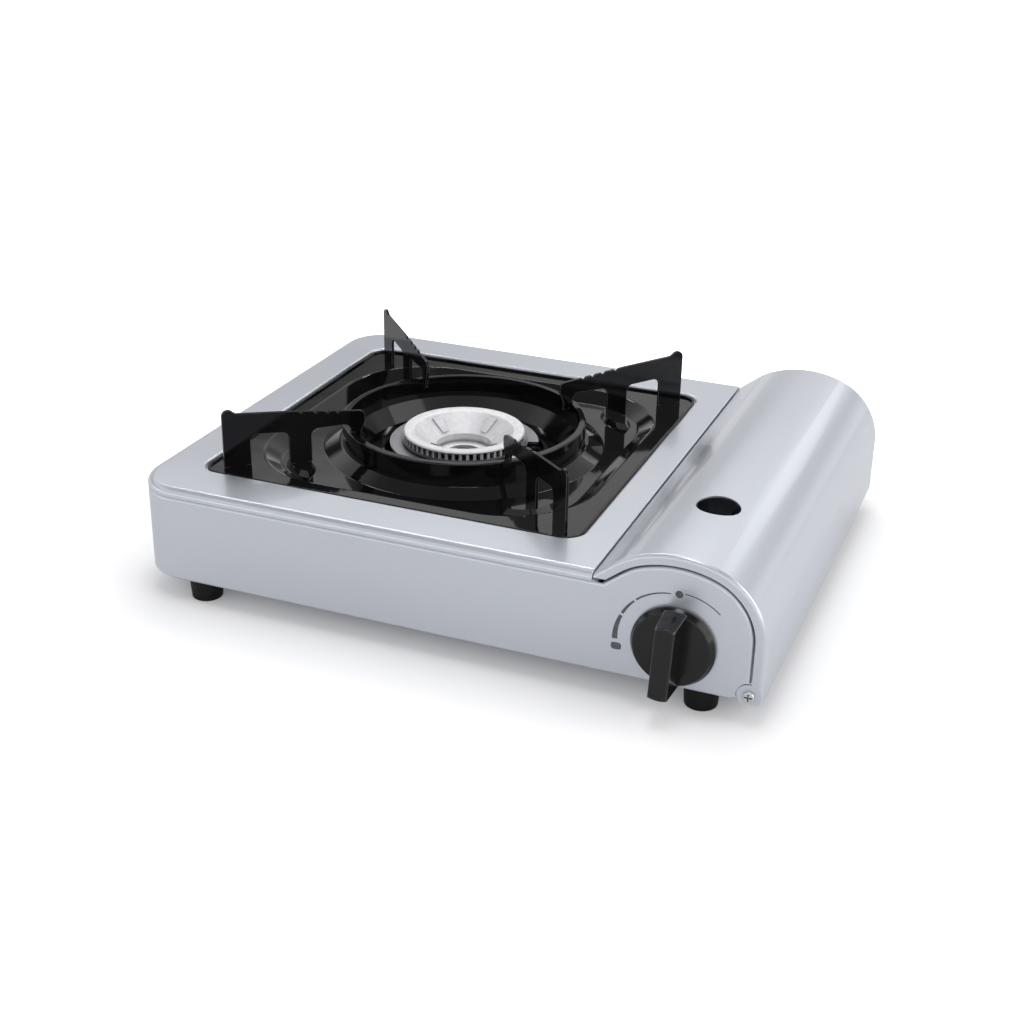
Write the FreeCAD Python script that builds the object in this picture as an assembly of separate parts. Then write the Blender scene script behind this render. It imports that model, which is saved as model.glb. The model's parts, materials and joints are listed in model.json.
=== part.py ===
import FreeCAD, Part
import math
import os

from FreeCAD import Vector

os.makedirs("parts", exist_ok=True)

# Butane cassette stove, in millimetres.
# While it is built, X runs from the left wall to the right, Y from the front panel to the rear,
# and Z up from the table. Heights named _drop are measured down from the face of the top plate.
# At the end everything moves so that the origin is under the middle of the whole stove.

# Overall sizes
body_width = 340.0
body_depth = 272.0
foot_height = 12.0
casing_height = 47.4
deck_skirt = 4.8
corner_radius = 25.0
bottom_edge_radius = 1.6
sheet = 0.8
underside_z = foot_height
floor_z = underside_z + sheet
seam_z = underside_z + casing_height
deck_z = seam_z + deck_skirt

# Cartridge lid: a crown arc between two shoulder arcs, and a ramp down to the seam
lid_half_width = 44.0
lid_crown_radius = 58.0
lid_shoulder_radius = 37.0
lid_shoulder_below_seam = 17.4
lid_ramp_start = 128.0
lid_seam_reach = 40.0
lid_lip = 3.6
lid_flange = 5.0
lid_edge_radius = 2.0
lid_hole_radius = 11.0
lid_hole_from_axis = 2.0
lid_hole_from_front = 62.1
lid_axis_x = body_width - lid_half_width
lid_seam_x = lid_axis_x - lid_seam_reach
shoulder_z = seam_z - lid_shoulder_below_seam
shoulder_shift = lid_half_width - lid_shoulder_radius
crown_drop = math.sqrt((lid_crown_radius - lid_shoulder_radius) ** 2 - shoulder_shift ** 2)
crown_z = shoulder_z - crown_drop
lid_top_z = crown_z + lid_crown_radius

# Lid hinge: one shouldered screw at each end of the lid
hinge_inset = 6.0
hinge_height = 3.9
ear_radius = 5.9
ear_below_casing = 0.7
hinge_shoulder_radius = 2.2
hinge_running_gap = 0.05
hinge_thread_radius = 1.6
hinge_head_radius = 2.9
hinge_head_height = 1.5
hinge_head_round = 0.7
hinge_cross_depth = 0.8
hinge_cross_half_length = 1.9
hinge_cross_half_width = 0.35
hinge_tab_radius = 4.8
hinge_tab_reach = 16.0
hinge_side_gap = 0.3
hinge_nut_height = 2.4
hinge_nut_radius = 3.6
hinge_x = body_width - hinge_inset
hinge_z = underside_z + hinge_height
hinge_swing = math.hypot(hinge_inset, hinge_height)
hinge_tab_y = sheet + hinge_side_gap

# Front and rear arch of the casing, inside the lid's flange
arch_gap = 1.0
arch_offset = lid_flange + arch_gap
arch_return = 4.0
arch_edge_radius = 1.9
bay_wall_x = hinge_x - hinge_swing - 0.95
bay_wall_height = 12.0
seam_gap = 0.6
notch_gap = 0.55

# Top plate
deck_right_x = lid_seam_x - seam_gap
deck_edge_radius = 4.0
deck_side_radius = 0.6
casing_shelf = 7.0
pan_left_margin = 23.8
pan_right_margin = 17.2
pan_opening_radius = 11.0
pan_ledge_drop = 2.6
pan_ledge_width = 5.0
opening_edge_radius = 1.3
pan_opening = deck_right_x - pan_left_margin - pan_right_margin
pan_centre_x = pan_left_margin + pan_opening / 2
pan_centre_y = body_depth / 2

# Drip pan. Lengths that end in * pan_ratio are drawn for a pan 106.2 from its middle to its edge
pan_sheet = 0.8
pan_clearance = 1.0
pan_half = pan_opening / 2 - pan_clearance
pan_ratio = pan_half / 106.2
pan_margin_drop = pan_ledge_drop - pan_sheet
pan_rim_width = 1.3
pan_rim_rise = 1.3
dish_margin = 10.9
dish_half = pan_half - dish_margin
dish_corner_radius = 51.0 * pan_ratio
dish_slope_run = 9.0
dish_floor_drop = 8.0
dish_bend_radius = 3.0
bead_drop = 3.5
bead_round = 2.0
bead_inner_radius = 63.4 * pan_ratio
bead_outer_radius = 69.8 * pan_ratio
bead_foot_radius = 78.6 * pan_ratio
trough_drop = 13.0
trough_inner_radius = 48.2 * pan_ratio
trough_outer_radius = 57.0 * pan_ratio
pan_hole_radius = 45.2 * pan_ratio
pan_lip_drop = 11.0
pad_radius = 95.3 * pan_ratio
pad_half_length = 17.0 * pan_ratio
pad_half_width = 8.0 * pan_ratio
pad_drop = 5.0
pad_draft = 2.5
pan_floor_z = deck_z - dish_floor_drop

# Wind ring
ring_radius = 68.3 * pan_ratio
ring_sheet = 1.0
ring_rim_width = 3.5
ring_height = 11.9
ring_foot_z = deck_z - bead_drop
ring_top_z = ring_foot_z + ring_height

# Pan supports, four plates on the diagonals
arm_sheet = 1.5
arm_outer_radius = 137.4 * pan_ratio
arm_top_rise = 30.5
arm_bump_radius = 3.5
arm_shelf_radius = 99.5 * pan_ratio
arm_shelf_rise = 25.3
arm_heel_radius = 129.3 * pan_ratio
arm_heel_rise = 28.0
arm_tip_radius = 58.5 * pan_ratio
arm_tip_rise = 20.7
arm_tip_under_rise = 14.2
arm_seat_outer_radius = 66.8 * pan_ratio
arm_lug_depth = 4.4
arm_lug_gap = 0.4
arm_lug_width = 3.4
outer_leg_radius = 122.6 * pan_ratio
outer_window_radius = 101.5 * pan_ratio
mid_leg_radius = 89.0 * pan_ratio
outer_window_rise = 15.5
inner_window_rise = 13.6
window_corner_radius = 4.0
notch_radii = [drawn * pan_ratio for drawn in (94.2, 86.0, 79.5, 73.6)]
notch_depth = 1.5
notch_half_width = 1.5
arm_tab_inset = 3.0
arm_foot_width = 4.5
arm_tip_corner = 3.5
arm_bump_turn = 143.0

# Burner
cap_radius = 34.4 * pan_ratio
cap_rise = 0.8
cap_lip = 1.6
cap_skirt = 3.2
cap_flat_radius = 28.0 * pan_ratio
cap_bore_radius = 15.8 * pan_ratio
cap_bore_drop = 8.5
cap_seat_drop = 13.0
cap_seat_radius = 9.4 * pan_ratio
cap_wall = 1.8
cap_skirt_wall = 2.5
cap_skirt_inset = 0.5
cap_rim_bevel = 0.7
cap_flat_edge = 2.5
port_count = 54
port_width = 2.3 * pan_ratio
mark_radius = 21.6 * pan_ratio
mark_half_length = 4.2
mark_lift = 0.7
mark_root = 1.5
mark_inner_half_width = 2.4
mark_outer_half_width = 3.6
mark_draft = 0.5
mark_angles = (75.0, 151.0, 255.0, 331.0)
base_flange_radius = 42.0 * pan_ratio
flange_gap_start = -14.0
flange_gap_end = 20.0
flange_gap_radius = 35.8 * pan_ratio
base_flange_drop = 6.0
base_flange_thickness = 1.5
base_rim_radius = 34.9 * pan_ratio
bowl_radius = 27.0 * pan_ratio
bowl_wall = 2.0
bowl_brim_wall = 2.0
bowl_brim_inset = 1.5
bowl_shoulder = 3.0
bowl_neck_drop = 16.0
bowl_bottom_drop = 39.2
air_tube_radius = 11.2 * pan_ratio
tube_drop = 29.7
cap_top_z = deck_z + cap_rise
cap_bottom_z = cap_top_z - cap_lip - cap_skirt
tube_z = deck_z - tube_drop
bowl_bottom_z = deck_z - bowl_bottom_drop

# Mixing tube, air damper, jet and gas pipe
tube_mouth_beyond_wall = 1.8
tube_mouth_y = 36.6
tube_radius = 9.0
tube_wall = 1.0
throat_radius = 6.5
mouth_radius = 10.5
tube_taper_start = 62.0
tube_throat_start = 22.0
damper_radius = 12.0
damper_wall = 1.0
damper_length = 8.0
damper_overlap = 1.5
damper_slot_width = 4.0
damper_slot_height = 7.0
jet_radius = 3.2
jet_length = 7.0
jet_bore_radius = 0.6
jet_nose_radius = 1.6
jet_nose_length = 4.0
jet_hexagon_radius = 4.6
pipe_radius = 2.5
pipe_wall = 1.0
pipe_nut_wall = 1.2
pipe_bend_radius = 6.0

# Folded strip under the burner
bracket_sheet = 1.2
bracket_side_gap = 3.0
bracket_half_width = 14.0
bracket_foot = 10.0

# Cartridge bay
cartridge_radius = 33.0
cartridge_clearance = 0.3
cartridge_z = floor_z + cartridge_clearance + cartridge_radius
cartridge_front_y = 52.0
partition_x = lid_seam_x - 4.0
partition_window_front_y = 18.0
partition_window_rear_y = 58.0
partition_window_height = 38.0
vent_row_offset = 9.0
vent_count = 5
vent_first = 26.0
vent_pitch = 34.0
vent_half_length = 11.0
vent_half_width = 3.0
rail_offset = 20.0
rail_foot = 7.0
partition_gap = 0.3
partition_flange = 6.0
partition_foot = 8.0
partition_end_inset = 8.0
partition_corner_cut = 4.0
partition_slot_gap = 0.4
rail_rise = 5.8
rail_front_gap = 15.0
rail_rear_gap = 60.0
rail_front_y = cartridge_front_y + rail_front_gap
rail_rear_y = body_depth - rail_rear_gap
tube_mouth_x = partition_x + tube_mouth_beyond_wall
tube_angle = math.degrees(math.atan2(tube_mouth_y - pan_centre_y, tube_mouth_x - pan_centre_x))
damper_end = math.hypot(tube_mouth_x - pan_centre_x, tube_mouth_y - pan_centre_y)
tube_end = damper_end - damper_length

# Strip that leads warmth from the burner to the cartridge
heat_plate_offset = 32.0
heat_plate_width = 20.0
heat_plate_thickness = 1.0
heat_plate_drop = 19.0
heat_plate_front_y = pan_centre_y + heat_plate_offset
heat_plate_rear_y = heat_plate_front_y + heat_plate_width
heat_plate_z = deck_z - heat_plate_drop

# Small screws
screw_radius = 1.5
screw_head_radius = 3.0
screw_head_height = 1.6

# Gas valve and regulator
knob_x = lid_axis_x + 0.6
knob_height = 22.4
knob_z = underside_z + knob_height
chamber_edge_round = 2.0
outlet_boss_radius = 4.5
outlet_bore_depth = 11.0
chamber_foot_half_width = 17.0
chamber_foot_thickness = 3.0
chamber_radius = 21.0
chamber_front_y = 24.0
chamber_rear_y = 36.0
cover_thickness = 4.0
valve_boss_radius = 8.0
valve_front_y = 12.0
spindle_radius = 3.5
spindle_running_gap = 0.05
socket_radius = 12.0
socket_length = 9.0
seal_radius = 8.0
magnet_inner_radius = 14.0
holder_half_width = 15.0
holder_toe = 8.0
holder_gap = 1.2
magnet_outer_radius = 25.0
magnet_thickness = 4.0
panel_hole_radius = 5.5

# Control knob
knob_radius = 20.6
knob_face_radius = 18.8
knob_rim = 1.2
knob_disc = 4.5
knob_depth = 20.6
knob_gap = 0.5
grip_half_length = 19.2
grip_root_width = 10.8
grip_front_width = 9.4
grip_end_bulge = 0.8
grip_taper = 0.6
shaft_flat = 1.2
grip_lean = 3.0

# Piezo igniter
igniter_width = 10.0
igniter_length = 19.0
igniter_sheet = 1.0
plunger_radius = 2.0
plunger_reach = 4.5
plunger_travel = 4.0
plunger_gap = 0.05
plunger_head = 3.2
finger_length = 11.0
finger_half_width = 1.6
finger_thickness = 3.4
finger_front_y = 6.0
finger_gap = 0.3
finger_rest_turn = -80.0
electrode_angle = -24.0
electrode_distance = 38.0 * pan_ratio
electrode_tip_drop = 0.4
ceramic_radius = 2.6
ceramic_length = 14.0
ceramic_rise = 1.4
pin_radius = 0.8
wire_radius = 1.2
igniter_y = finger_front_y + finger_thickness / 2
igniter_z = knob_z - finger_length
plunger_tip_x = knob_x + finger_half_width + finger_gap
igniter_x = plunger_tip_x + plunger_reach

# Feet
foot_top_radius = 9.0
foot_bottom_radius = 8.1
foot_left_inset = 36.5
foot_right_inset = 31.0
foot_inset_y = 10.7
foot_recess = 4.0
foot_recess_gap = 0.8
foot_left_x = foot_left_inset
foot_right_x = body_width - foot_right_inset


def box(x0, x1, y0, y1, z0, z1):
    return Part.makeBox(x1 - x0, y1 - y0, z1 - z0, Vector(x0, y0, z0))


def rod(x, y, z, radius, length, along):
    return Part.makeCylinder(radius, length, Vector(x, y, z), along)


def line(a, b):
    return Part.LineSegment(a, b).toShape()


def arc(a, middle, b):
    return Part.Arc(a, middle, b).toShape()


def polygon(points):
    return Part.Face(Part.makePolygon(points + [points[0]]))


def rounded_rectangle(x0, x1, y0, y1, z, left_radius, right_radius):
    """A closed wire at height z with its own radius for the two left and two right corners."""
    corners = [
        (x0 + left_radius, y0 + left_radius, left_radius, 180.0),
        (x1 - right_radius, y0 + right_radius, right_radius, 270.0),
        (x1 - right_radius, y1 - right_radius, right_radius, 0.0),
        (x0 + left_radius, y1 - left_radius, left_radius, 90.0),
    ]
    edges = []
    ends = []
    for x, y, radius, start in corners:
        points = []
        for turn in (0.0, 45.0, 90.0):
            angle = math.radians(start + turn)
            points.append(Vector(x + radius * math.cos(angle), y + radius * math.sin(angle), z))
        ends.append(points)
    for index, points in enumerate(ends):
        edges.append(arc(*points))
        following = ends[(index + 1) % 4]
        edges.append(line(points[2], following[0]))
    return Part.Wire(edges)


def rounded_prism(x0, x1, y0, y1, z0, z1, left_radius, right_radius):
    wire = rounded_rectangle(x0, x1, y0, y1, z0, left_radius, right_radius)
    return Part.Face(wire).extrude(Vector(0, 0, z1 - z0))


def square_wire(half, radius, z):
    return rounded_rectangle(
        pan_centre_x - half, pan_centre_x + half, pan_centre_y - half, pan_centre_y + half, z, radius, radius
    )


def square_prism(half, radius, z0, z1):
    return Part.Face(square_wire(half, radius, z0)).extrude(Vector(0, 0, z1 - z0))


def turned(points):
    """Revolve an outline of (radius, height) points about the burner's upright axis."""
    outline = polygon([Vector(pan_centre_x + r, pan_centre_y, z) for r, z in points])
    return outline.revolve(Vector(pan_centre_x, pan_centre_y, 0), Vector(0, 0, 1), 360)


def turned_along_y(points, x, z):
    """Revolve an outline of (radius, y) points about a line along Y."""
    outline = polygon([Vector(x + r, y, z) for r, y in points])
    return outline.revolve(Vector(x, 0, z), Vector(0, 1, 0), 360)


def about_burner(shape, angle):
    placed = shape.copy()
    placed.rotate(Vector(pan_centre_x, pan_centre_y, 0), Vector(0, 0, 1), angle)
    return placed


def mirrored_to_rear(shape):
    return shape.mirror(Vector(0, body_depth / 2, 0), Vector(0, 1, 0))


def edges_where(shape, test):
    return [edge for edge in shape.Edges if test(edge)]


def flat_at_z(edge, z):
    bounds = edge.BoundBox
    return abs(bounds.ZMin - z) < 0.01 and abs(bounds.ZMax - z) < 0.01


def flat_at_y(edge, y):
    bounds = edge.BoundBox
    return abs(bounds.YMin - y) < 0.01 and abs(bounds.YMax - y) < 0.01


def lid_outline(offset, left_x, bottom_z):
    """The lid's end view, drawn inward by offset, as a face in the front plane."""
    crown_half_angle = math.degrees(math.asin(shoulder_shift / (lid_crown_radius - lid_shoulder_radius)))
    right_tangent = 90.0 - crown_half_angle
    left_tangent = 90.0 + crown_half_angle

    def on_circle(centre_x, centre_z, radius, angle):
        turn = math.radians(angle)
        return Vector(centre_x + radius * math.cos(turn), 0, centre_z + radius * math.sin(turn))

    shoulder = lid_shoulder_radius - offset
    crown = lid_crown_radius - offset
    right_x = lid_axis_x + shoulder_shift
    left_centre_x = lid_axis_x - shoulder_shift
    ramp_angle = math.radians(lid_ramp_start)
    start = Vector(right_x + shoulder, 0, bottom_z)
    side_top = Vector(right_x + shoulder, 0, shoulder_z)
    right_join = on_circle(right_x, shoulder_z, shoulder, right_tangent)
    left_join = on_circle(left_centre_x, shoulder_z, shoulder, left_tangent)
    ramp_top = on_circle(left_centre_x, shoulder_z, shoulder, lid_ramp_start)
    ramp_slope = math.cos(ramp_angle) / math.sin(ramp_angle)
    ramp_end = Vector(left_x, 0, ramp_top.z + (ramp_top.x - left_x) * ramp_slope)
    edges = [
        line(start, side_top),
        arc(side_top, on_circle(right_x, shoulder_z, shoulder, right_tangent / 2), right_join),
        arc(right_join, on_circle(lid_axis_x, crown_z, crown, 90.0), left_join),
        arc(left_join, on_circle(left_centre_x, shoulder_z, shoulder, (left_tangent + lid_ramp_start) / 2),
            ramp_top),
        line(ramp_top, ramp_end),
        line(ramp_end, Vector(left_x, 0, bottom_z)),
        line(Vector(left_x, 0, bottom_z), start),
    ]
    return Part.Face(Part.Wire(edges))


def lid_block(offset, left_x, bottom_z, y0, y1):
    face = lid_outline(offset, left_x, bottom_z)
    face.translate(Vector(0, y0, 0))
    return face.extrude(Vector(0, y1 - y0, 0))


def rounded_ends(block, y0, y1, left_x, bottom_z, radius):
    """Round the two end edges of a lid-shaped block, apart from its left side and underside."""
    def is_rim(edge):
        bounds = edge.BoundBox
        if not (flat_at_y(edge, y0) or flat_at_y(edge, y1)):
            return False
        if bounds.XMax < left_x + 0.01 or bounds.ZMax < bottom_z + 0.01:
            return False
        return True

    return block.makeFillet(radius, edges_where(block, is_rim))


def hinge_rod(radius, y0, y1):
    return rod(hinge_x, y0, hinge_z, radius, y1 - y0, Vector(0, 1, 0))


# Casing

def casing_tray():
    right_x = bay_wall_x
    outer = rounded_prism(0, right_x, 0, body_depth, underside_z, seam_z, corner_radius, 0.5)
    low_edges = edges_where(outer, lambda e: flat_at_z(e, underside_z) and e.BoundBox.XMin < right_x - 1)
    outer = outer.makeFillet(bottom_edge_radius, low_edges)
    high_edges = edges_where(outer, lambda e: flat_at_z(e, seam_z) and e.BoundBox.XMin < right_x - 1)
    outer = outer.makeFillet(arch_edge_radius, high_edges)
    inner = rounded_prism(
        sheet, right_x - sheet, sheet, body_depth - sheet, floor_z, seam_z - sheet, corner_radius - sheet, 0.5
    )
    inner_low = edges_where(inner, lambda e: flat_at_z(e, floor_z))
    inner = inner.makeFillet(bottom_edge_radius - sheet, inner_low)
    inner_high = edges_where(inner, lambda e: flat_at_z(e, seam_z - sheet) and e.BoundBox.XMin < right_x - 2)
    inner = inner.makeFillet(arch_edge_radius - sheet, inner_high)
    shelf_hole = rounded_prism(
        casing_shelf, right_x + 1, casing_shelf, body_depth - casing_shelf, seam_z - 2 * sheet, seam_z + 1,
        corner_radius - casing_shelf, 0.5
    )
    bay_top = box(lid_seam_x + 2, right_x + 1, sheet, body_depth - sheet, seam_z - 2 * sheet, seam_z + 1)
    low_wall = box(right_x - 2 * sheet, right_x + 1, sheet, body_depth - sheet,
                   underside_z + bay_wall_height, seam_z + 1)
    return outer.cut(inner).cut(shelf_hole).cut(bay_top).cut(low_wall)


def casing_arch():
    """The front panel where it rises under the lid, with its edge rolled back."""
    left_x = lid_seam_x - 2
    low_z = underside_z + bottom_edge_radius
    outer = lid_block(arch_offset, left_x, low_z, 0, arch_return)
    front_rim = edges_where(outer, lambda e: flat_at_y(e, 0) and e.BoundBox.XMax > left_x + 0.1
                            and e.BoundBox.ZMax > low_z + 0.1)
    outer = outer.makeFillet(arch_edge_radius, front_rim)
    hollow = lid_block(arch_offset + sheet, left_x - 1, low_z - 1, sheet, arch_return + 1)
    hollow_rim = edges_where(hollow, lambda e: flat_at_y(e, sheet) and e.BoundBox.XMax > left_x - 0.9
                             and e.BoundBox.ZMax > low_z - 0.9)
    hollow = hollow.makeFillet(arch_edge_radius - sheet, hollow_rim)
    hollow = hollow.fuse(box(left_x - 1, lid_axis_x, sheet, arch_return + 1, low_z - 1, seam_z - sheet))
    beyond = box(left_x - 1, lid_axis_x, -1, arch_return + 1, seam_z, seam_z + deck_skirt + 30)
    beyond = beyond.cut(lid_block(arch_offset, left_x, low_z, -2, arch_return + 2))
    return outer.cut(hollow).cut(beyond)


def hinge_tab():
    """The strip behind the front panel that carries the lid's hinge screw."""
    y0 = hinge_tab_y
    y1 = y0 + sheet
    tab = hinge_rod(hinge_tab_radius, y0, y1)
    strip = box(hinge_x - hinge_tab_reach, hinge_x, y0, y1, hinge_z - 2, hinge_z + hinge_tab_radius)
    weld = box(hinge_x - hinge_tab_reach, bay_wall_x - 1.5, sheet, y0, hinge_z, hinge_z + hinge_tab_radius)
    return tab.fuse([strip, weld]).cut(hinge_rod(hinge_thread_radius, y0 - 1, y1 + 1))


def bottom_slots():
    """Two rows of vent slots under the cartridge."""
    slots = []
    round_end = vent_half_width - 0.1
    for row_x in (lid_axis_x - vent_row_offset, lid_axis_x + vent_row_offset):
        for index in range(vent_count):
            middle_y = cartridge_front_y + vent_first + vent_pitch * index
            slots.append(rounded_prism(row_x - vent_half_width, row_x + vent_half_width,
                                       middle_y - vent_half_length, middle_y + vent_half_length,
                                       underside_z - 1, floor_z + 1, round_end, round_end))
    return slots


def lower_casing():
    notch = hinge_rod(ear_radius + notch_gap, -1, arch_return + 1)
    front_arch = casing_arch()
    arches = [front_arch, mirrored_to_rear(front_arch)]
    shell = casing_tray().fuse(arches).removeSplitter()
    notches = [notch, mirrored_to_rear(notch)]
    knob_hole = rod(knob_x, -1, knob_z, panel_hole_radius, sheet + 2, Vector(0, 1, 0))
    shell = shell.cut(notches + [knob_hole] + bottom_slots() + foot_screw_holes())
    tabs = [hinge_tab(), mirrored_to_rear(hinge_tab())]
    return shell.fuse(tabs)


# Cartridge lid

def cartridge_lid():
    outer = lid_block(0, lid_seam_x, underside_z, 0, body_depth)
    outer = rounded_ends(outer, 0, body_depth, lid_seam_x, underside_z, lid_edge_radius)
    inner = lid_block(sheet, lid_seam_x + sheet, underside_z - 1, sheet, body_depth - sheet)
    inner = rounded_ends(inner, sheet, body_depth - sheet, lid_seam_x + sheet, underside_z - 1,
                         lid_edge_radius - sheet)
    opening = lid_block(lid_flange, lid_seam_x - 4, underside_z - 1, -1, body_depth + 1)
    lip_z = deck_z + sheet - lid_lip
    below_lip = box(lid_seam_x - 1, lid_seam_x + 9, -1, body_depth + 1, underside_z - 1, lip_z)
    skin = outer.cut([inner, opening, below_lip])
    ear = hinge_rod(ear_radius, 0, sheet)
    below_ear = underside_z - ear_below_casing
    ear = ear.cut(box(hinge_x - 2 * ear_radius, body_width + ear_radius, -1, sheet + 1, 0, below_ear))
    ear = ear.cut(box(body_width, body_width + ear_radius, -1, sheet + 1, 0, seam_z))
    skin = skin.fuse([ear, mirrored_to_rear(ear)])
    screw_hole = hinge_rod(hinge_shoulder_radius + hinge_running_gap, -1, sheet + 1)
    finger_hole = rod(lid_axis_x + lid_hole_from_axis, lid_hole_from_front, lid_top_z - 20,
                      lid_hole_radius, 30, Vector(0, 0, 1))
    return skin.cut([screw_hole, mirrored_to_rear(screw_hole), finger_hole])


def hinge_screw():
    head = hinge_rod(hinge_head_radius, -hinge_side_gap - hinge_head_height, -hinge_side_gap)
    rim = edges_where(head, lambda e: flat_at_y(e, -hinge_side_gap - hinge_head_height))
    head = head.makeFillet(hinge_head_round, rim)
    slot_y = -hinge_side_gap - hinge_head_height
    long = hinge_cross_half_length
    narrow = hinge_cross_half_width
    for half_x, half_z in ((long, narrow), (narrow, long)):
        head = head.cut(box(hinge_x - half_x, hinge_x + half_x, slot_y - 1, slot_y + hinge_cross_depth,
                            hinge_z - half_z, hinge_z + half_z))
    shoulder = hinge_rod(hinge_shoulder_radius, -hinge_side_gap, hinge_tab_y)
    thread = hinge_rod(hinge_thread_radius, hinge_tab_y, hinge_tab_y + sheet + hinge_nut_height)
    return head.fuse([shoulder, thread])


def hinge_nut():
    y0 = hinge_tab_y + sheet
    points = []
    for index in range(6):
        angle = math.radians(60 * index)
        points.append(Vector(hinge_x + hinge_nut_radius * math.cos(angle), y0,
                             hinge_z + hinge_nut_radius * math.sin(angle)))
    nut = polygon(points).extrude(Vector(0, hinge_nut_height, 0))
    return nut.cut(hinge_rod(hinge_thread_radius, y0 - 1, y0 + hinge_nut_height + 1))


# Top plate

def plate_form(inset, z0, z1, right_x):
    """A flat tray form with three rolled upper edges, cut off square at its right side."""
    beyond_x = right_x + corner_radius
    form = rounded_prism(inset, beyond_x, inset, body_depth - inset, z0, z1, corner_radius - inset, 1.0)
    upper = edges_where(form, lambda e: flat_at_z(e, z1) and e.BoundBox.XMin < right_x)
    form = form.makeFillet(deck_edge_radius - inset, upper)
    return form.cut(box(right_x, beyond_x + 1, -1, body_depth + 1, z0 - 1, z1 + 1))


def top_plate():
    outer = plate_form(0, seam_z, deck_z, deck_right_x)
    right_edges = edges_where(outer, lambda e: e.BoundBox.XMin > deck_right_x - 0.01)
    right_rim = [edge for edge in right_edges if edge.BoundBox.ZMin > seam_z + 0.1]
    outer = outer.makeFillet(deck_side_radius, right_rim)
    inner = plate_form(sheet, seam_z - 1, deck_z - sheet, deck_right_x - sheet)
    half = pan_opening / 2
    ledge_z = deck_z - pan_ledge_drop
    collar = square_prism(half + sheet, pan_opening_radius + sheet, ledge_z - sheet, deck_z - sheet / 2)
    well = square_prism(half, pan_opening_radius, ledge_z, deck_z + 1)
    through_half = half - pan_ledge_width
    through = square_prism(through_half, pan_opening_radius - pan_ledge_width, ledge_z - 2, deck_z + 1)
    plate = outer.cut(inner).fuse(collar).removeSplitter().cut([well, through])

    def on_opening(edge):
        bounds = edge.BoundBox
        inside = bounds.XMin > pan_centre_x - half - 0.1 and bounds.XMax < pan_centre_x + half + 0.1
        return inside and flat_at_z(edge, deck_z)

    return plate.makeFillet(opening_edge_radius, edges_where(plate, on_opening))


# Drip pan

def pan_lens(length, width, z):
    """Outline of a raised pad under a middle leg: two arcs that meet in points."""
    x = pan_centre_x + pad_radius
    ends = [Vector(x, pan_centre_y - length, z), Vector(x, pan_centre_y + length, z)]
    outward = arc(ends[0], Vector(x + width, pan_centre_y, z), ends[1])
    inward = arc(ends[1], Vector(x - width, pan_centre_y, z), ends[0])
    return Part.Wire([outward, inward])


def pan_form(drop, bottom_z):
    """The solid under the pan's upper surface, moved down by drop, and open at the middle hole."""
    margin_z = deck_z - pan_margin_drop - drop
    dish_z = pan_floor_z - drop
    bead_z = deck_z - bead_drop - drop
    block = square_prism(pan_half, pan_opening_radius - pan_clearance, bottom_z, margin_z)
    dish = Part.makeLoft([
        square_wire(dish_half - dish_slope_run, dish_corner_radius - dish_slope_run, dish_z),
        square_wire(dish_half, dish_corner_radius, margin_z),
    ], True, True)
    block = block.cut(dish)
    bends = edges_where(block, lambda e: (flat_at_z(e, margin_z) or flat_at_z(e, dish_z))
                        and e.BoundBox.XMin > pan_centre_x - dish_half - 0.1
                        and e.BoundBox.XMax < pan_centre_x + dish_half + 0.1)
    block = block.makeFillet(dish_bend_radius, bends)
    bead = turned([(pan_hole_radius - 5, dish_z - 4), (bead_foot_radius, dish_z - 4),
                   (bead_foot_radius, dish_z), (bead_outer_radius, bead_z), (pan_hole_radius - 5, bead_z)])
    pads = []
    for index in range(4):
        low = pan_lens(pad_half_length, pad_half_width, dish_z - 1)
        high = pan_lens(pad_half_length - pad_draft - 1, pad_half_width - pad_draft, deck_z - pad_drop - drop)
        pads.append(about_burner(Part.makeLoft([low, high], True, True), 45 + 90 * index))
    block = block.fuse([bead] + pads).removeSplitter()
    bead_edges = edges_where(block, lambda e: flat_at_z(e, bead_z) or
                             (flat_at_z(e, dish_z) and abs(e.Length - 2 * math.pi * bead_foot_radius) < 1))
    block = block.makeFillet(bead_round, bead_edges)
    trough_z = deck_z - trough_drop - drop
    lip_z = deck_z - pan_lip_drop - drop
    middle = turned([(0, bottom_z - 5), (pan_hole_radius, bottom_z - 5), (pan_hole_radius, lip_z),
                     (trough_inner_radius, trough_z), (trough_outer_radius, trough_z),
                     (bead_inner_radius, bead_z), (bead_inner_radius, bead_z + 9), (0, bead_z + 9)])
    return block.cut(middle)


def arm_slot(inner_radius, outer_radius, z0, z1):
    half = arm_sheet / 2
    return box(pan_centre_x + inner_radius, pan_centre_x + outer_radius, pan_centre_y - half,
               pan_centre_y + half, z0, z1)


def drip_pan():
    bottom_z = deck_z - trough_drop - 4
    pan = pan_form(0, bottom_z).cut(pan_form(pan_sheet, bottom_z - 2))
    ledge_z = deck_z - pan_ledge_drop
    radius = pan_opening_radius - pan_clearance
    rim = square_prism(pan_half, radius, ledge_z, ledge_z + pan_sheet + pan_rim_rise)
    rim = rim.cut(square_prism(pan_half - pan_rim_width, radius - pan_rim_width, ledge_z - 1, deck_z + 1))
    rim_top = edges_where(rim, lambda e: flat_at_z(e, ledge_z + pan_sheet + pan_rim_rise))
    rim = rim.makeFillet(pan_rim_width / 2 - 0.1, rim_top)
    pan = pan.fuse(rim).removeSplitter()
    slots = []
    for index in range(4):
        angle = 45 + 90 * index
        outer = arm_slot(outer_leg_radius + arm_tab_inset, arm_outer_radius - arm_tab_inset,
                         ledge_z - 3, deck_z + 1)
        middle = arm_slot(mid_leg_radius + arm_tab_inset, outer_window_radius - arm_tab_inset,
                          pan_floor_z - 3, deck_z + 1)
        slots += [about_burner(outer, angle), about_burner(middle, angle)]
    return pan.cut(slots)


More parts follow.
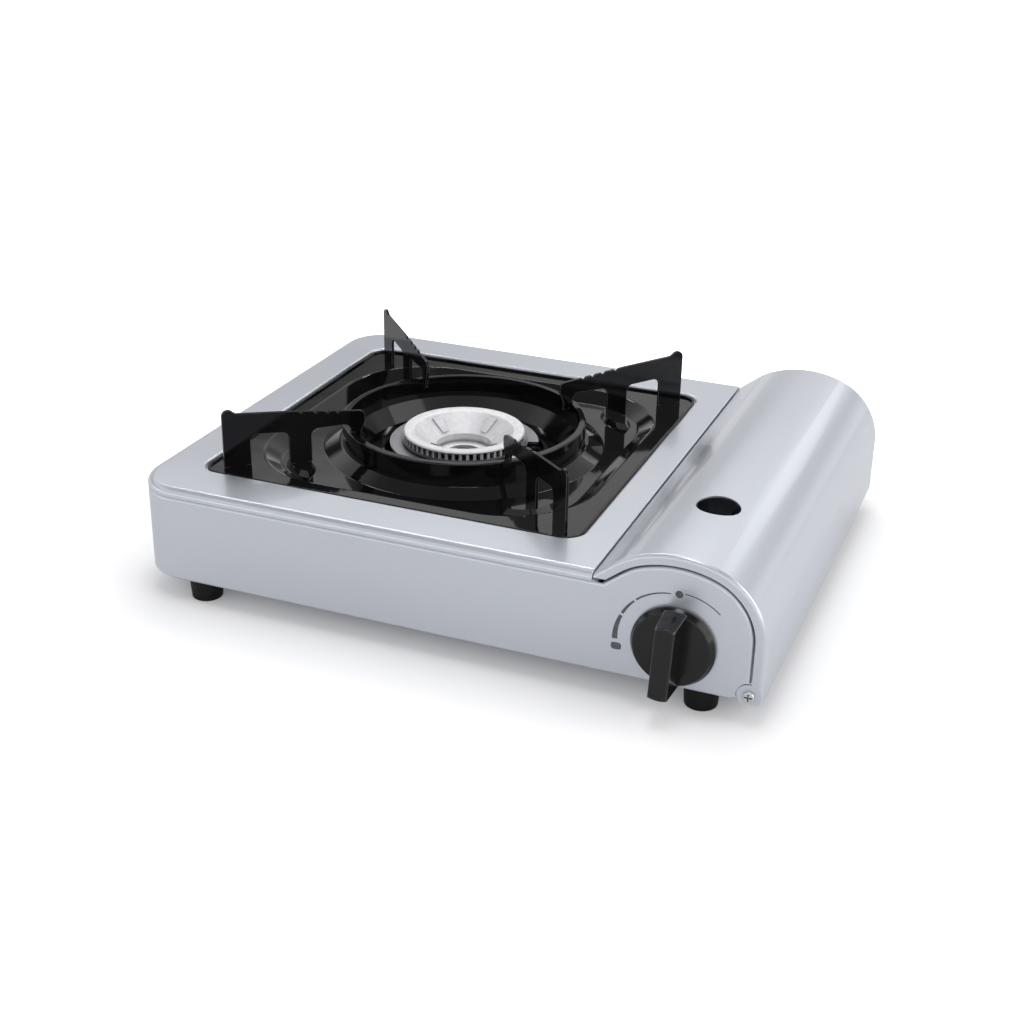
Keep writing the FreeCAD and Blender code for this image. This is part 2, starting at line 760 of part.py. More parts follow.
def wind_ring():
    inner = ring_radius - ring_sheet
    rim_inner = ring_radius - ring_rim_width
    ring = turned([(inner, ring_foot_z), (ring_radius, ring_foot_z), (ring_radius, ring_top_z),
                   (rim_inner, ring_top_z), (rim_inner, ring_top_z - ring_sheet),
                   (inner, ring_top_z - ring_sheet)])
    outer_edge = edges_where(ring, lambda e: flat_at_z(e, ring_top_z) and e.Length > 2 * math.pi * inner)
    return ring.makeFillet(ring_sheet * 0.8, outer_edge)


# Pan supports

def arm_outline():
    """Side view of one support as a face in the X-Z plane, with X as the distance from the burner."""
    def at(radius, z):
        return Vector(pan_centre_x + radius, pan_centre_y, z)

    margin_z = deck_z - pan_margin_drop
    pad_z = deck_z - pad_drop
    bump_x = arm_outer_radius - arm_bump_radius
    bump_z = deck_z + arm_top_rise - arm_bump_radius
    heel = at(arm_heel_radius, deck_z + arm_heel_rise)
    shelf = at(arm_shelf_radius, deck_z + arm_shelf_rise)
    tip_z = deck_z + arm_tip_rise
    tip_corner = arm_tip_corner
    bump_turn = math.radians(arm_bump_turn)
    slope = (arm_shelf_rise - arm_tip_rise) / (arm_shelf_radius - arm_tip_radius - tip_corner)
    top = [shelf]
    for radius in notch_radii:
        z = deck_z + arm_shelf_rise - (arm_shelf_radius - radius) * slope
        top.append(at(radius + notch_half_width, z + notch_half_width * slope))
        top.append(at(radius, z - notch_depth))
        top.append(at(radius - notch_half_width, z - notch_half_width * slope))
    top.append(at(arm_tip_radius + tip_corner, tip_z))
    bump_end = at(bump_x + arm_bump_radius * math.cos(bump_turn),
                  bump_z + arm_bump_radius * math.sin(bump_turn))
    edges = [
        line(at(arm_outer_radius, margin_z), at(arm_outer_radius, bump_z)),
        arc(at(arm_outer_radius, bump_z), at(bump_x, bump_z + arm_bump_radius), bump_end),
        line(bump_end, heel),
        line(heel, shelf),
    ]
    for start, end in zip(top[:-1], top[1:]):
        edges.append(line(start, end))
    tip_low = deck_z + arm_tip_under_rise
    lug_outer = ring_radius - ring_rim_width - arm_lug_gap
    lug_inner = lug_outer - arm_lug_width
    lug_z = ring_top_z - arm_lug_depth
    tail = [
        at(arm_tip_radius, tip_low), at(lug_inner, ring_top_z), at(lug_inner, lug_z), at(lug_outer, lug_z),
        at(lug_outer, ring_top_z), at(arm_seat_outer_radius, ring_top_z),
        at(arm_seat_outer_radius, deck_z + inner_window_rise),
        at(mid_leg_radius, deck_z + inner_window_rise), at(mid_leg_radius, pad_z),
        at(mid_leg_radius + arm_tab_inset, pad_z), at(mid_leg_radius + arm_tab_inset, pad_z - pan_sheet),
        at(outer_window_radius - arm_tab_inset, pad_z - pan_sheet),
        at(outer_window_radius - arm_tab_inset, pad_z), at(outer_window_radius, pad_z),
        at(outer_window_radius, deck_z + inner_window_rise), at(outer_leg_radius, deck_z + outer_window_rise),
        at(outer_leg_radius, margin_z),
        at(outer_leg_radius + arm_tab_inset, margin_z),
        at(outer_leg_radius + arm_tab_inset, margin_z - pan_sheet),
        at(arm_outer_radius - arm_tab_inset, margin_z - pan_sheet),
        at(arm_outer_radius - arm_tab_inset, margin_z), at(arm_outer_radius, margin_z),
    ]
    tip_top = at(arm_tip_radius, tip_z - tip_corner)
    tip_sagitta = tip_corner * (1 - math.cos(math.radians(45)))
    tip_middle = at(arm_tip_radius + tip_sagitta, tip_z - tip_sagitta)
    edges.append(arc(top[-1], tip_middle, tip_top))
    edges.append(line(tip_top, tail[0]))
    for start, end in zip(tail[:-1], tail[1:]):
        edges.append(line(start, end))
    return Part.Face(Part.Wire(edges))


def bent_tab(inner_radius, outer_radius, top_z):
    """The end of a leg, folded flat under the pan."""
    half = arm_sheet / 2
    return box(pan_centre_x + inner_radius, pan_centre_x + outer_radius, pan_centre_y - half,
               pan_centre_y - half + arm_foot_width, top_z - arm_sheet, top_z)


def support_arm():
    half = arm_sheet / 2
    face = arm_outline()
    face.translate(Vector(0, -half, 0))
    arm = face.extrude(Vector(0, arm_sheet, 0))
    corner_z = (deck_z + inner_window_rise, deck_z + outer_window_rise)

    def is_window_corner(edge):
        bounds = edge.BoundBox
        if bounds.YLength < arm_sheet - 0.01 or bounds.XLength > 0.01 or bounds.ZLength > 0.01:
            return False
        radius = bounds.XMin - pan_centre_x
        at_height = min(abs(bounds.ZMin - z) for z in corner_z) < 0.01
        return at_height and arm_seat_outer_radius - 0.1 < radius < outer_leg_radius + 0.1

    arm = arm.makeFillet(window_corner_radius, edges_where(arm, is_window_corner))
    pad_under = deck_z - pad_drop - pan_sheet
    margin_under = deck_z - pan_margin_drop - pan_sheet
    mid_tab = bent_tab(mid_leg_radius + arm_tab_inset, outer_window_radius - arm_tab_inset, pad_under)
    outer_tab = bent_tab(outer_leg_radius + arm_tab_inset, arm_outer_radius - arm_tab_inset, margin_under)
    return arm.fuse([mid_tab, outer_tab])


# Burner

def cap_mark(angle):
    """A raised wedge on the cap's cone, wider towards the rim."""
    slope = (cap_rise + cap_bore_drop) / (cap_flat_radius - cap_bore_radius)
    inner = mark_radius - mark_half_length
    outer = mark_radius + mark_half_length
    inner_z = deck_z - cap_bore_drop + (inner - cap_bore_radius) * slope
    outer_z = deck_z - cap_bore_drop + (outer - cap_bore_radius) * slope
    faces = []
    for radius, z, half in ((inner, inner_z, mark_inner_half_width), (outer, outer_z, mark_outer_half_width)):
        x = pan_centre_x + radius
        root_z = z - mark_root
        crest_z = z + mark_lift
        crest_half = half - mark_draft
        faces.append(Part.makePolygon([
            Vector(x, pan_centre_y - half, root_z), Vector(x, pan_centre_y + half, root_z),
            Vector(x, pan_centre_y + crest_half, crest_z), Vector(x, pan_centre_y - crest_half, crest_z),
            Vector(x, pan_centre_y - half, root_z),
        ]))
    return about_burner(Part.makeLoft(faces, True, True), angle)


def burner_cap():
    flat_z = cap_top_z
    bore_z = deck_z - cap_bore_drop
    seat_z = deck_z - cap_seat_drop
    lip_z = cap_top_z - cap_lip
    outer_skirt = cap_radius - cap_skirt_inset
    inner_skirt = outer_skirt - cap_skirt_wall
    cap = turned([
        (outer_skirt, cap_bottom_z), (outer_skirt, lip_z), (cap_radius, lip_z + 0.3),
        (cap_radius, flat_z - cap_rim_bevel), (cap_radius - cap_rim_bevel, flat_z),
        (cap_flat_radius + cap_flat_edge, flat_z), (cap_flat_radius, flat_z - 0.5),
        (cap_bore_radius, bore_z), (cap_bore_radius, seat_z),
        (cap_seat_radius, seat_z), (cap_seat_radius, seat_z - cap_wall),
        (cap_bore_radius + cap_wall, seat_z - cap_wall), (cap_bore_radius + cap_wall, bore_z - cap_wall),
        (cap_flat_radius, lip_z), (inner_skirt, lip_z), (inner_skirt, cap_bottom_z),
    ])
    cap = cap.fuse([cap_mark(angle) for angle in mark_angles])
    ports = []
    for index in range(port_count):
        port = box(pan_centre_x + inner_skirt - 1, pan_centre_x + cap_radius + 1,
                   pan_centre_y - port_width / 2, pan_centre_y + port_width / 2, cap_bottom_z - 1, lip_z)
        ports.append(about_burner(port, 360.0 / port_count * index))
    return cap.cut(ports)


def tube_line(distance):
    """A point on the mixing tube's axis, at a distance from the burner's centre."""
    angle = math.radians(tube_angle)
    return Vector(pan_centre_x + distance * math.cos(angle), pan_centre_y + distance * math.sin(angle),
                  tube_z)


def turned_on_tube(points):
    """Revolve an outline of (distance, radius) points about the mixing tube's axis."""
    outline = polygon([Vector(pan_centre_x + distance, pan_centre_y, tube_z + radius)
                       for distance, radius in points])
    solid = outline.revolve(Vector(pan_centre_x, pan_centre_y, tube_z), Vector(1, 0, 0), 360)
    return about_burner(solid, tube_angle)


def flange_gap(flange_z):
    """The part of the base's flange that is left out, as a sector beyond the bowl's rim."""
    reach = base_flange_radius + 8
    points = [Vector(pan_centre_x, pan_centre_y, flange_z - base_flange_thickness - 1)]
    for angle in (flange_gap_start, flange_gap_end):
        turn = math.radians(angle)
        points.append(points[0] + Vector(reach * math.cos(turn), reach * math.sin(turn), 0))
    sector = polygon(points).extrude(Vector(0, 0, base_flange_thickness + 2))
    return sector.cut(rod(pan_centre_x, pan_centre_y, flange_z - 10, flange_gap_radius, 20, Vector(0, 0, 1)))


def burner_base():
    flange_z = deck_z - base_flange_drop
    neck_z = deck_z - bowl_neck_drop
    air_top_z = deck_z - cap_seat_drop - cap_wall
    brim = cap_radius - bowl_brim_inset
    shoulder_z = flange_z - bowl_shoulder
    under_z = flange_z - base_flange_thickness
    outer = turned([
        (0, bowl_bottom_z), (bowl_radius, bowl_bottom_z), (bowl_radius, neck_z), (brim, shoulder_z),
        (brim, under_z), (base_flange_radius, under_z),
        (base_flange_radius, flange_z), (cap_radius - 0.9, flange_z), (base_rim_radius, flange_z + 0.6),
        (base_rim_radius, cap_bottom_z), (0, cap_bottom_z),
    ])
    hollow = turned([
        (air_tube_radius, bowl_bottom_z + bowl_wall), (bowl_radius - bowl_wall, bowl_bottom_z + bowl_wall),
        (bowl_radius - bowl_wall, neck_z), (brim - bowl_brim_wall, shoulder_z),
        (brim - bowl_brim_wall, cap_bottom_z + 1),
        (0, cap_bottom_z + 1), (0, air_top_z), (air_tube_radius, air_top_z),
    ])
    air_way = rod(pan_centre_x, pan_centre_y, bowl_bottom_z - 1, cap_seat_radius, 60, Vector(0, 0, 1))
    x, y = electrode_place()
    electrode_hole = rod(x, y, flange_z - 4, ceramic_radius, 6, Vector(0, 0, 1))
    inlet = turned_on_tube([(air_tube_radius + 3, 0), (air_tube_radius + 3, tube_radius),
                            (bowl_radius + 1, tube_radius), (bowl_radius + 1, 0)])
    return outer.cut([hollow, air_way, inlet, electrode_hole, flange_gap(flange_z)])


def mixing_tube():
    start = bowl_radius - bowl_wall
    bore = tube_radius - tube_wall
    taper = tube_end - tube_taper_start
    throat = tube_end - tube_throat_start
    return turned_on_tube([
        (start, tube_radius), (start, bore), (taper, bore), (throat, throat_radius),
        (tube_end, mouth_radius - tube_wall), (tube_end, mouth_radius),
        (throat, throat_radius + tube_wall), (taper, tube_radius),
    ])


def air_damper():
    """A sleeve round the tube's mouth, with four air windows and a plate that holds the jet."""
    inner = damper_radius - damper_wall
    plate = damper_end - damper_wall
    start = tube_end - damper_overlap
    sleeve = turned_on_tube([
        (start, mouth_radius), (start, damper_radius), (damper_end, damper_radius), (damper_end, jet_radius),
        (plate, jet_radius), (plate, inner), (tube_end, inner), (tube_end, mouth_radius),
    ])
    windows = []
    reach = 2 * damper_radius
    slot_x = pan_centre_x + tube_end + damper_overlap
    slot_z = tube_z - damper_slot_height / 2
    for angle in (45.0, 135.0):
        slot = box(slot_x, slot_x + damper_slot_width, pan_centre_y - reach, pan_centre_y + reach,
                   slot_z, slot_z + damper_slot_height)
        slot.rotate(Vector(pan_centre_x, pan_centre_y, tube_z), Vector(1, 0, 0), angle)
        windows.append(about_burner(slot, tube_angle))
    return sleeve.cut(windows)


def gas_jet():
    start = damper_end - jet_nose_length
    shoulder = start + jet_nose_length / 2
    end = shoulder + jet_length
    taper = end - jet_nose_length / 2
    nut = turned_on_tube([
        (damper_end, jet_bore_radius), (damper_end, jet_hexagon_radius), (taper, jet_hexagon_radius),
        (end, pipe_radius + pipe_nut_wall), (end, jet_bore_radius),
    ])
    nose = turned_on_tube([
        (start, jet_bore_radius), (start, jet_nose_radius), (shoulder, jet_radius), (damper_end, jet_radius),
        (damper_end, jet_bore_radius),
    ])
    return nut.fuse(nose)


def gas_pipe():
    """From the jet along the tube's line, then round to the regulator's left side."""
    start = tube_line(damper_end + jet_length - jet_nose_length / 2)
    end_y = (chamber_front_y + chamber_rear_y) / 2
    travel = (start.y - end_y) / -math.sin(math.radians(tube_angle))
    corner = Vector(start.x + travel * math.cos(math.radians(tube_angle)), end_y, tube_z)
    tangent = pipe_bend_radius * math.tan(math.radians(-tube_angle / 2))
    inward = Vector(corner - start).normalize()
    bend_start = corner - inward * tangent
    bend_end = corner + Vector(tangent, 0, 0)
    centre = bend_end + Vector(0, pipe_bend_radius, 0)
    middle_angle = math.radians(-90 + tube_angle / 2)
    middle = centre + Vector(math.cos(middle_angle), math.sin(middle_angle), 0) * pipe_bend_radius
    boss_x = lid_axis_x - regulator_boss_reach()
    end = Vector(boss_x, end_y, tube_z)
    path = Part.Wire([line(start, bend_start), arc(bend_start, middle, bend_end), line(bend_end, end)])
    ring = Part.Wire([Part.Circle(start, inward, pipe_radius).toShape()])
    tube = path.makePipeShell([ring], True, False)
    bore = Part.Wire([Part.Circle(start, inward, pipe_radius - pipe_wall).toShape()])
    return tube.cut(path.makePipeShell([bore], True, False))


def burner_bracket():
    """A folded strip that stands on the casing floor and carries the burner's bowl."""
    half_length = bowl_radius + bracket_side_gap
    half_width = bracket_half_width
    foot = bracket_foot
    top_z = bowl_bottom_z
    top = box(-half_length, half_length, -half_width, half_width, top_z - bracket_sheet, top_z)
    pieces = [top]
    for side in (-1, 1):
        outer = side * half_length
        inner = outer - side * bracket_sheet
        low, high = sorted((inner, outer))
        pieces.append(box(low, high, -half_width, half_width, floor_z, bowl_bottom_z))
        low, high = sorted((inner, outer + side * foot))
        pieces.append(box(low, high, -half_width, half_width, floor_z, floor_z + bracket_sheet))
    bracket = pieces[0].fuse(pieces[1:])
    bracket = bracket.cut(rod(0, 0, floor_z - 1, cap_seat_radius, 60, Vector(0, 0, 1)))
    for side in (-1, 1):
        bracket = bracket.cut(rod(side * (half_length + foot / 2), 0, floor_z - 1, screw_radius,
                                  4, Vector(0, 0, 1)))
    bracket.translate(Vector(pan_centre_x, pan_centre_y, 0))
    return bracket.removeSplitter()


# Small screws

def pan_head_screw(x, y, z, direction, grip):
    """A screw whose head stands on the point given, with its shank going back into the parts."""
    head = rod(x, y, z, screw_head_radius, screw_head_height, direction)
    shank = rod(x, y, z, screw_radius, grip, direction * -1)
    return head.fuse(shank)


def burner_screws():
    places = bowl_radius + bracket_side_gap + bracket_foot / 2
    top = floor_z + bracket_sheet
    screws = []
    for side in (-1, 1):
        x = pan_centre_x + side * places
        screws.append(pan_head_screw(x, pan_centre_y, top, Vector(0, 0, 1), bracket_sheet))
    return Part.makeCompound(screws)


# Feet

def foot_places():
    places = []
    for x in (foot_left_x, foot_right_x):
        for y in (foot_inset_y, body_depth - foot_inset_y):
            places.append((x, y))
    return places


def foot_screw_holes():
    return [rod(x, y, underside_z - 1, screw_radius, sheet + 2, Vector(0, 0, 1)) for x, y in foot_places()]


def foot(x, y):
    body = Part.makeCone(foot_bottom_radius, foot_top_radius, foot_height, Vector(x, y, 0), Vector(0, 0, 1))
    body = body.makeFillet(1.0, edges_where(body, lambda e: flat_at_z(e, 0)))
    recess = rod(x, y, -1, screw_head_radius + foot_recess_gap, foot_recess + 1, Vector(0, 0, 1))
    hole = rod(x, y, 0, screw_radius, foot_height, Vector(0, 0, 1))
    return body.cut([recess, hole])


def foot_screws():
    screws = []
    for x, y in foot_places():
        screws.append(pan_head_screw(x, y, foot_recess, Vector(0, 0, -1), foot_height - foot_recess + sheet))
    return Part.makeCompound(screws)


# Partition, rails and heat plate

def partition_wall():
    wall_top = deck_z - sheet
    front_y = sheet + partition_gap
    rear_y = body_depth - front_y
    inset_front_y = front_y + partition_end_inset
    inset_rear_y = rear_y - partition_end_inset
    foot_x = partition_x - partition_foot
    beyond_x = partition_x + sheet + 1
    wall = box(partition_x, partition_x + sheet, front_y, rear_y, floor_z, wall_top)
    flange = box(partition_x - partition_flange, partition_x + sheet, inset_front_y, inset_rear_y,
                 wall_top - sheet, wall_top)
    foot_strip = box(foot_x, partition_x + sheet, inset_front_y, inset_rear_y, floor_z, floor_z + sheet)
    window = box(foot_x - 1, beyond_x, partition_window_front_y, partition_window_rear_y,
                 floor_z - 1, floor_z + partition_window_height)
    shelf_y = casing_shelf + partition_slot_gap
    cut = partition_corner_cut
    ends = [
        box(partition_x - 1, beyond_x, 0, shelf_y, seam_z - 2 * sheet, deck_z),
        box(partition_x - 1, beyond_x, body_depth - shelf_y, body_depth, seam_z - 2 * sheet, deck_z),
        box(foot_x - 1, beyond_x, 0, cut, floor_z - 1, floor_z + cut),
        box(foot_x - 1, beyond_x, body_depth - cut, body_depth, floor_z - 1, floor_z + cut),
    ]
    gap = partition_slot_gap
    slot = box(partition_x - 1, beyond_x, heat_plate_front_y - gap, heat_plate_rear_y + gap,
               heat_plate_z - gap, heat_plate_z + heat_plate_thickness + gap)
    return wall.fuse([flange, foot_strip]).cut([window, slot] + ends)


def heat_plate():
    """A bent strip that leads a little burner warmth to the cartridge."""
    inner_x = pan_centre_x + bowl_radius + 1.5
    bay_x = lid_axis_x - cartridge_radius - 1.8
    flat = box(inner_x, bay_x, heat_plate_front_y, heat_plate_rear_y, heat_plate_z,
               heat_plate_z + heat_plate_thickness)
    upright = box(bay_x - heat_plate_thickness, bay_x, heat_plate_front_y, heat_plate_rear_y,
                  floor_z, heat_plate_z + heat_plate_thickness)
    return flat.fuse(upright)


def cartridge_rails():
    """Two angle strips on the casing floor that keep the cartridge from rolling."""
    strips = []
    for side in (-1, 1):
        x = lid_axis_x + side * rail_offset
        low, high = sorted((x, x + side * sheet))
        upright = box(low, high, rail_front_y, rail_rear_y, floor_z, floor_z + rail_rise)
        low, high = sorted((x, x + side * rail_foot))
        foot_part = box(low, high, rail_front_y, rail_rear_y, floor_z, floor_z + sheet)
        strips.append(upright.fuse(foot_part))
    return Part.makeCompound(strips)


# Gas valve and regulator

def regulator_boss_reach():
    return chamber_radius + 4.0


def regulator_body():
    chamber = rod(lid_axis_x, chamber_front_y, cartridge_z, chamber_radius,
                  chamber_rear_y - chamber_front_y, Vector(0, 1, 0))
    front_edge = edges_where(chamber, lambda e: flat_at_y(e, chamber_front_y) and e.Length > 60)
    chamber = chamber.makeFillet(chamber_edge_round, front_edge)
    boss = rod(knob_x, valve_front_y, knob_z, valve_boss_radius, chamber_front_y - valve_front_y + 4,
               Vector(0, 1, 0))
    side_y = (chamber_front_y + chamber_rear_y) / 2
    outlet_x = lid_axis_x - regulator_boss_reach()
    outlet = rod(outlet_x, side_y, tube_z, outlet_boss_radius, chamber_radius, Vector(1, 0, 0))
    outlet_bore = rod(outlet_x - 1, side_y, tube_z, pipe_radius - pipe_wall, outlet_bore_depth + 1,
                      Vector(1, 0, 0))
    foot_y = chamber_front_y + chamber_edge_round
    ear = box(lid_axis_x - chamber_foot_half_width, lid_axis_x + chamber_foot_half_width,
              foot_y, foot_y + chamber_foot_thickness, floor_z, cartridge_z - chamber_radius / 2)
    spindle_bore = rod(knob_x, valve_front_y - 1, knob_z, spindle_radius + spindle_running_gap,
                       spindle_depth() + 2, Vector(0, 1, 0))
    return chamber.fuse([boss, outlet, ear]).cut([spindle_bore, outlet_bore])


def spindle_depth():
    return chamber_front_y - valve_front_y - 2.0


def regulator_cover():
    plate = rod(lid_axis_x, chamber_rear_y, cartridge_z, chamber_radius, cover_thickness, Vector(0, 1, 0))
    rear = edges_where(plate, lambda e: flat_at_y(e, chamber_rear_y + cover_thickness) and e.Length > 60)
    plate = plate.makeFillet(1.2, rear)
    return plate.cut(cover_screw_holes())


def cover_screw_places():
    places = []
    for index in range(4):
        angle = math.radians(45 + 90 * index)
        places.append((lid_axis_x + (chamber_radius - 3.8) * math.cos(angle),
                       cartridge_z + (chamber_radius - 3.8) * math.sin(angle)))
    return places


def cover_screw_holes():
    return [rod(x, chamber_rear_y - 1, z, 1.1, cover_thickness + 2, Vector(0, 1, 0))
            for x, z in cover_screw_places()]


def cover_screws():
    rear_y = chamber_rear_y + cover_thickness
    screws = []
    for x, z in cover_screw_places():
        head = rod(x, rear_y, z, 1.9, 1.0, Vector(0, 1, 0))
        shank = rod(x, chamber_rear_y, z, 1.1, cover_thickness, Vector(0, 1, 0))
        screws.append(head.fuse(shank))
    return Part.makeCompound(screws)


def cartridge_socket():
    """The round socket that takes the cartridge's nozzle, with a seat for its seal."""
    y0 = chamber_rear_y + cover_thickness
    return turned_along_y([(1.5, y0), (socket_radius, y0), (socket_radius, y0 + socket_length),
                           (seal_radius, y0 + socket_length), (seal_radius, y0 + 4), (1.5, y0 + 4)],
                          lid_axis_x, cartridge_z)


def socket_seal():
    y0 = chamber_rear_y + cover_thickness + 4
    return turned_along_y([(2.6, y0), (seal_radius, y0), (seal_radius, y0 + 1.6), (2.6, y0 + 1.6)],
                          lid_axis_x, cartridge_z)


def magnet_ring():
    y0 = chamber_rear_y + cover_thickness + 1.2 + sheet
    return turned_along_y([(magnet_inner_radius, y0), (magnet_outer_radius, y0),
                           (magnet_outer_radius, y0 + magnet_thickness),
                           (magnet_inner_radius, y0 + magnet_thickness)], lid_axis_x, cartridge_z)


def magnet_holder():
    """A plate round the socket that carries the magnet and stands on the casing floor."""
    y0 = chamber_rear_y + cover_thickness + holder_gap
    left_x = lid_axis_x - holder_half_width
    right_x = lid_axis_x + holder_half_width
    disc = rod(lid_axis_x, y0, cartridge_z, magnet_outer_radius + 1, sheet, Vector(0, 1, 0))
    leg = box(left_x, right_x, y0, y0 + sheet, floor_z, cartridge_z)
    toe = box(left_x, right_x, y0, y0 + holder_toe, floor_z, floor_z + sheet)
    hole = rod(lid_axis_x, y0 - 1, cartridge_z, socket_radius, sheet + 2, Vector(0, 1, 0))
    return disc.fuse([leg, toe]).cut(hole)


def valve_spindle():
    rear_y = valve_front_y - 1 + spindle_depth() + 1.5
    front_y = -knob_disc - 6.0
    shaft = rod(knob_x, front_y, knob_z, spindle_radius, rear_y - front_y, Vector(0, 1, 0))
    flat = box(knob_x + spindle_radius - shaft_flat, knob_x + spindle_radius + 1, front_y - 1, -knob_gap,
               knob_z - 5, knob_z + 5)
    flat.rotate(Vector(knob_x, 0, knob_z), Vector(0, 1, 0), grip_lean)
    return shaft.cut(flat)


def cam_finger():
    """The arm on the spindle that reaches the igniter's plunger at the end of the turn."""
    y0 = finger_front_y
    hub = rod(knob_x, y0, knob_z, spindle_radius + 2.2, finger_thickness, Vector(0, 1, 0))
    reach = box(knob_x - finger_half_width, knob_x + finger_half_width, y0, y0 + finger_thickness,
                knob_z, knob_z + finger_length)
    tip = rod(knob_x, y0, knob_z + finger_length, finger_half_width, finger_thickness, Vector(0, 1, 0))
    finger = hub.fuse([reach, tip])
    finger = finger.cut(rod(knob_x, y0 - 1, knob_z, spindle_radius, finger_thickness + 2, Vector(0, 1, 0)))
    finger.rotate(Vector(knob_x, 0, knob_z), Vector(0, 1, 0), finger_rest_turn)
    return finger


def control_knob():
    """A low disc with a standing grip bar that tapers towards its front and its ends."""
    back_y = -knob_gap
    disc = turned_along_y([(0, back_y), (knob_radius, back_y), (knob_radius, back_y - knob_rim),
                           (knob_face_radius, -knob_disc), (0, -knob_disc)], knob_x, knob_z)
    disc = disc.makeFillet(0.8, edges_where(disc, lambda e: flat_at_y(e, -knob_disc)))

    def bar_section(y, half_length, width):
        half = width / 2
        low = Vector(knob_x, y, knob_z - half_length)
        high = Vector(knob_x, y, knob_z + half_length)
        bulge = grip_end_bulge
        edges = [
            line(low + Vector(half, 0, bulge), high + Vector(half, 0, -bulge)),
            arc(high + Vector(half, 0, -bulge), high, high + Vector(-half, 0, -bulge)),
            line(high + Vector(-half, 0, -bulge), low + Vector(-half, 0, bulge)),
            arc(low + Vector(-half, 0, bulge), low, low + Vector(half, 0, bulge)),
        ]
        return Part.Wire(edges)

    root = bar_section(-knob_disc + 1.0, grip_half_length + grip_taper, grip_root_width)
    front = bar_section(-knob_depth, grip_half_length, grip_front_width)
    bar = Part.makeLoft([root, front], True, True)
    bar = bar.makeFillet(1.0, edges_where(bar, lambda e: flat_at_y(e, -knob_depth)))
    bore = rod(knob_x, -knob_disc - 6.0, knob_z, spindle_radius, 20, Vector(0, 1, 0))
    key = box(knob_x + spindle_radius - shaft_flat, knob_x + spindle_radius + 1, -knob_disc - 7, 5,
              knob_z - 5, knob_z + 5)
    knob = disc.fuse(bar).cut(bore.cut(key))
    knob.rotate(Vector(knob_x, 0, knob_z), Vector(0, 1, 0), grip_lean)
    return knob


# Piezo igniter

def igniter_body():
    half = igniter_width / 2
    body = box(igniter_x, igniter_x + igniter_length, igniter_y - half, igniter_y + half,
               igniter_z - half, igniter_z + half)
    long_edges = edges_where(body, lambda e: e.BoundBox.XLength > igniter_length - 0.1)
    body = body.makeFillet(1.2, long_edges)
    bore_depth = plunger_travel + plunger_head + 0.6
    guide = rod(igniter_x - 1, igniter_y, igniter_z, plunger_radius + plunger_gap, 3, Vector(1, 0, 0))
    barrel = rod(igniter_x + 1.2, igniter_y, igniter_z, plunger_head + plunger_gap,
                 bore_depth, Vector(1, 0, 0))
    return body.cut([guide, barrel])


def igniter_plunger():
    """The button that the finger presses, with a head that keeps it in the igniter."""
    stem = rod(plunger_tip_x, igniter_y, igniter_z, plunger_radius, plunger_reach + 2.0, Vector(1, 0, 0))
    stem = stem.makeFillet(0.8, edges_where(stem, lambda e: e.BoundBox.XMax < plunger_tip_x + 0.01))
    head = rod(igniter_x + 1.3, igniter_y, igniter_z, plunger_head, plunger_head, Vector(1, 0, 0))
    return stem.fuse(head)


def igniter_bracket():
    """A folded strip that carries the igniter on the casing floor."""
    half = igniter_width / 2
    under_z = igniter_z - half
    x1 = igniter_x + igniter_length - 7
    x0 = igniter_x + 2
    shelf = box(x0, x1, igniter_y - half, igniter_y + half + igniter_sheet, under_z - igniter_sheet, under_z)
    back = box(x0, x1, igniter_y + half, igniter_y + half + igniter_sheet, under_z, igniter_z + half)
    leg = box(x0, x0 + igniter_sheet, igniter_y - half, igniter_y + half + igniter_sheet, floor_z, under_z)
    toe = box(x0 - 6, x0 + igniter_sheet, igniter_y - half, igniter_y + half + igniter_sheet,
              floor_z, floor_z + igniter_sheet)
    bracket = shelf.fuse([back, leg, toe])
    return bracket.removeSplitter()


def electrode_place():
    angle = math.radians(electrode_angle)
    return (pan_centre_x + electrode_distance * math.cos(angle),
            pan_centre_y + electrode_distance * math.sin(angle))


def electrode_ceramic():
    x, y = electrode_place()
    top = deck_z - base_flange_drop + ceramic_rise
    body = rod(x, y, top - ceramic_length, ceramic_radius, ceramic_length, Vector(0, 0, 1))
    body = body.makeFillet(0.6, edges_where(body, lambda e: flat_at_z(e, top)))
    return body.cut(rod(x, y, top - ceramic_length - 1, pin_radius, ceramic_length + 2, Vector(0, 0, 1)))


def electrode_pin():
    x, y = electrode_place()
    bottom = deck_z - base_flange_drop + ceramic_rise - ceramic_length
    top = deck_z - electrode_tip_drop
    return rod(x, y, bottom, pin_radius, top - bottom, Vector(0, 0, 1))


def electrode_clip():
    """The spring washer that holds the ceramic under the burner's flange."""
    x, y = electrode_place()
    under = deck_z - base_flange_drop - base_flange_thickness
    washer = rod(x, y, under - 0.6, ceramic_radius + 1.6, 0.6, Vector(0, 0, 1))
    return washer.cut(rod(x, y, under - 2, ceramic_radius, 4, Vector(0, 0, 1)))


def wire_route():
    """Corner points of the igniter lead, from the igniter's rear face to the foot of the electrode."""
    x, y = electrode_place()
    start_x = igniter_x + igniter_length - 4
    start_y = igniter_y + igniter_width / 2
    run_z = floor_z + 3.2
    end_z = deck_z - base_flange_drop + ceramic_rise - ceramic_length
    return [
        Vector(start_x, start_y, igniter_z),
        Vector(start_x, start_y + 6, igniter_z),
        Vector(start_x, chamber_rear_y - 2.5, run_z + 1),
        Vector(lid_seam_x + 8, chamber_rear_y - 1.5, run_z),
        Vector(pan_centre_x + 91, pan_centre_y - 60, run_z),
        Vector(pan_centre_x + 60, pan_centre_y - 18, run_z + 1.5),
        Vector(x + 7, y + 8.5, end_z - 8),
        Vector(x, y, end_z - 5),
        Vector(x, y, end_z),
    ]


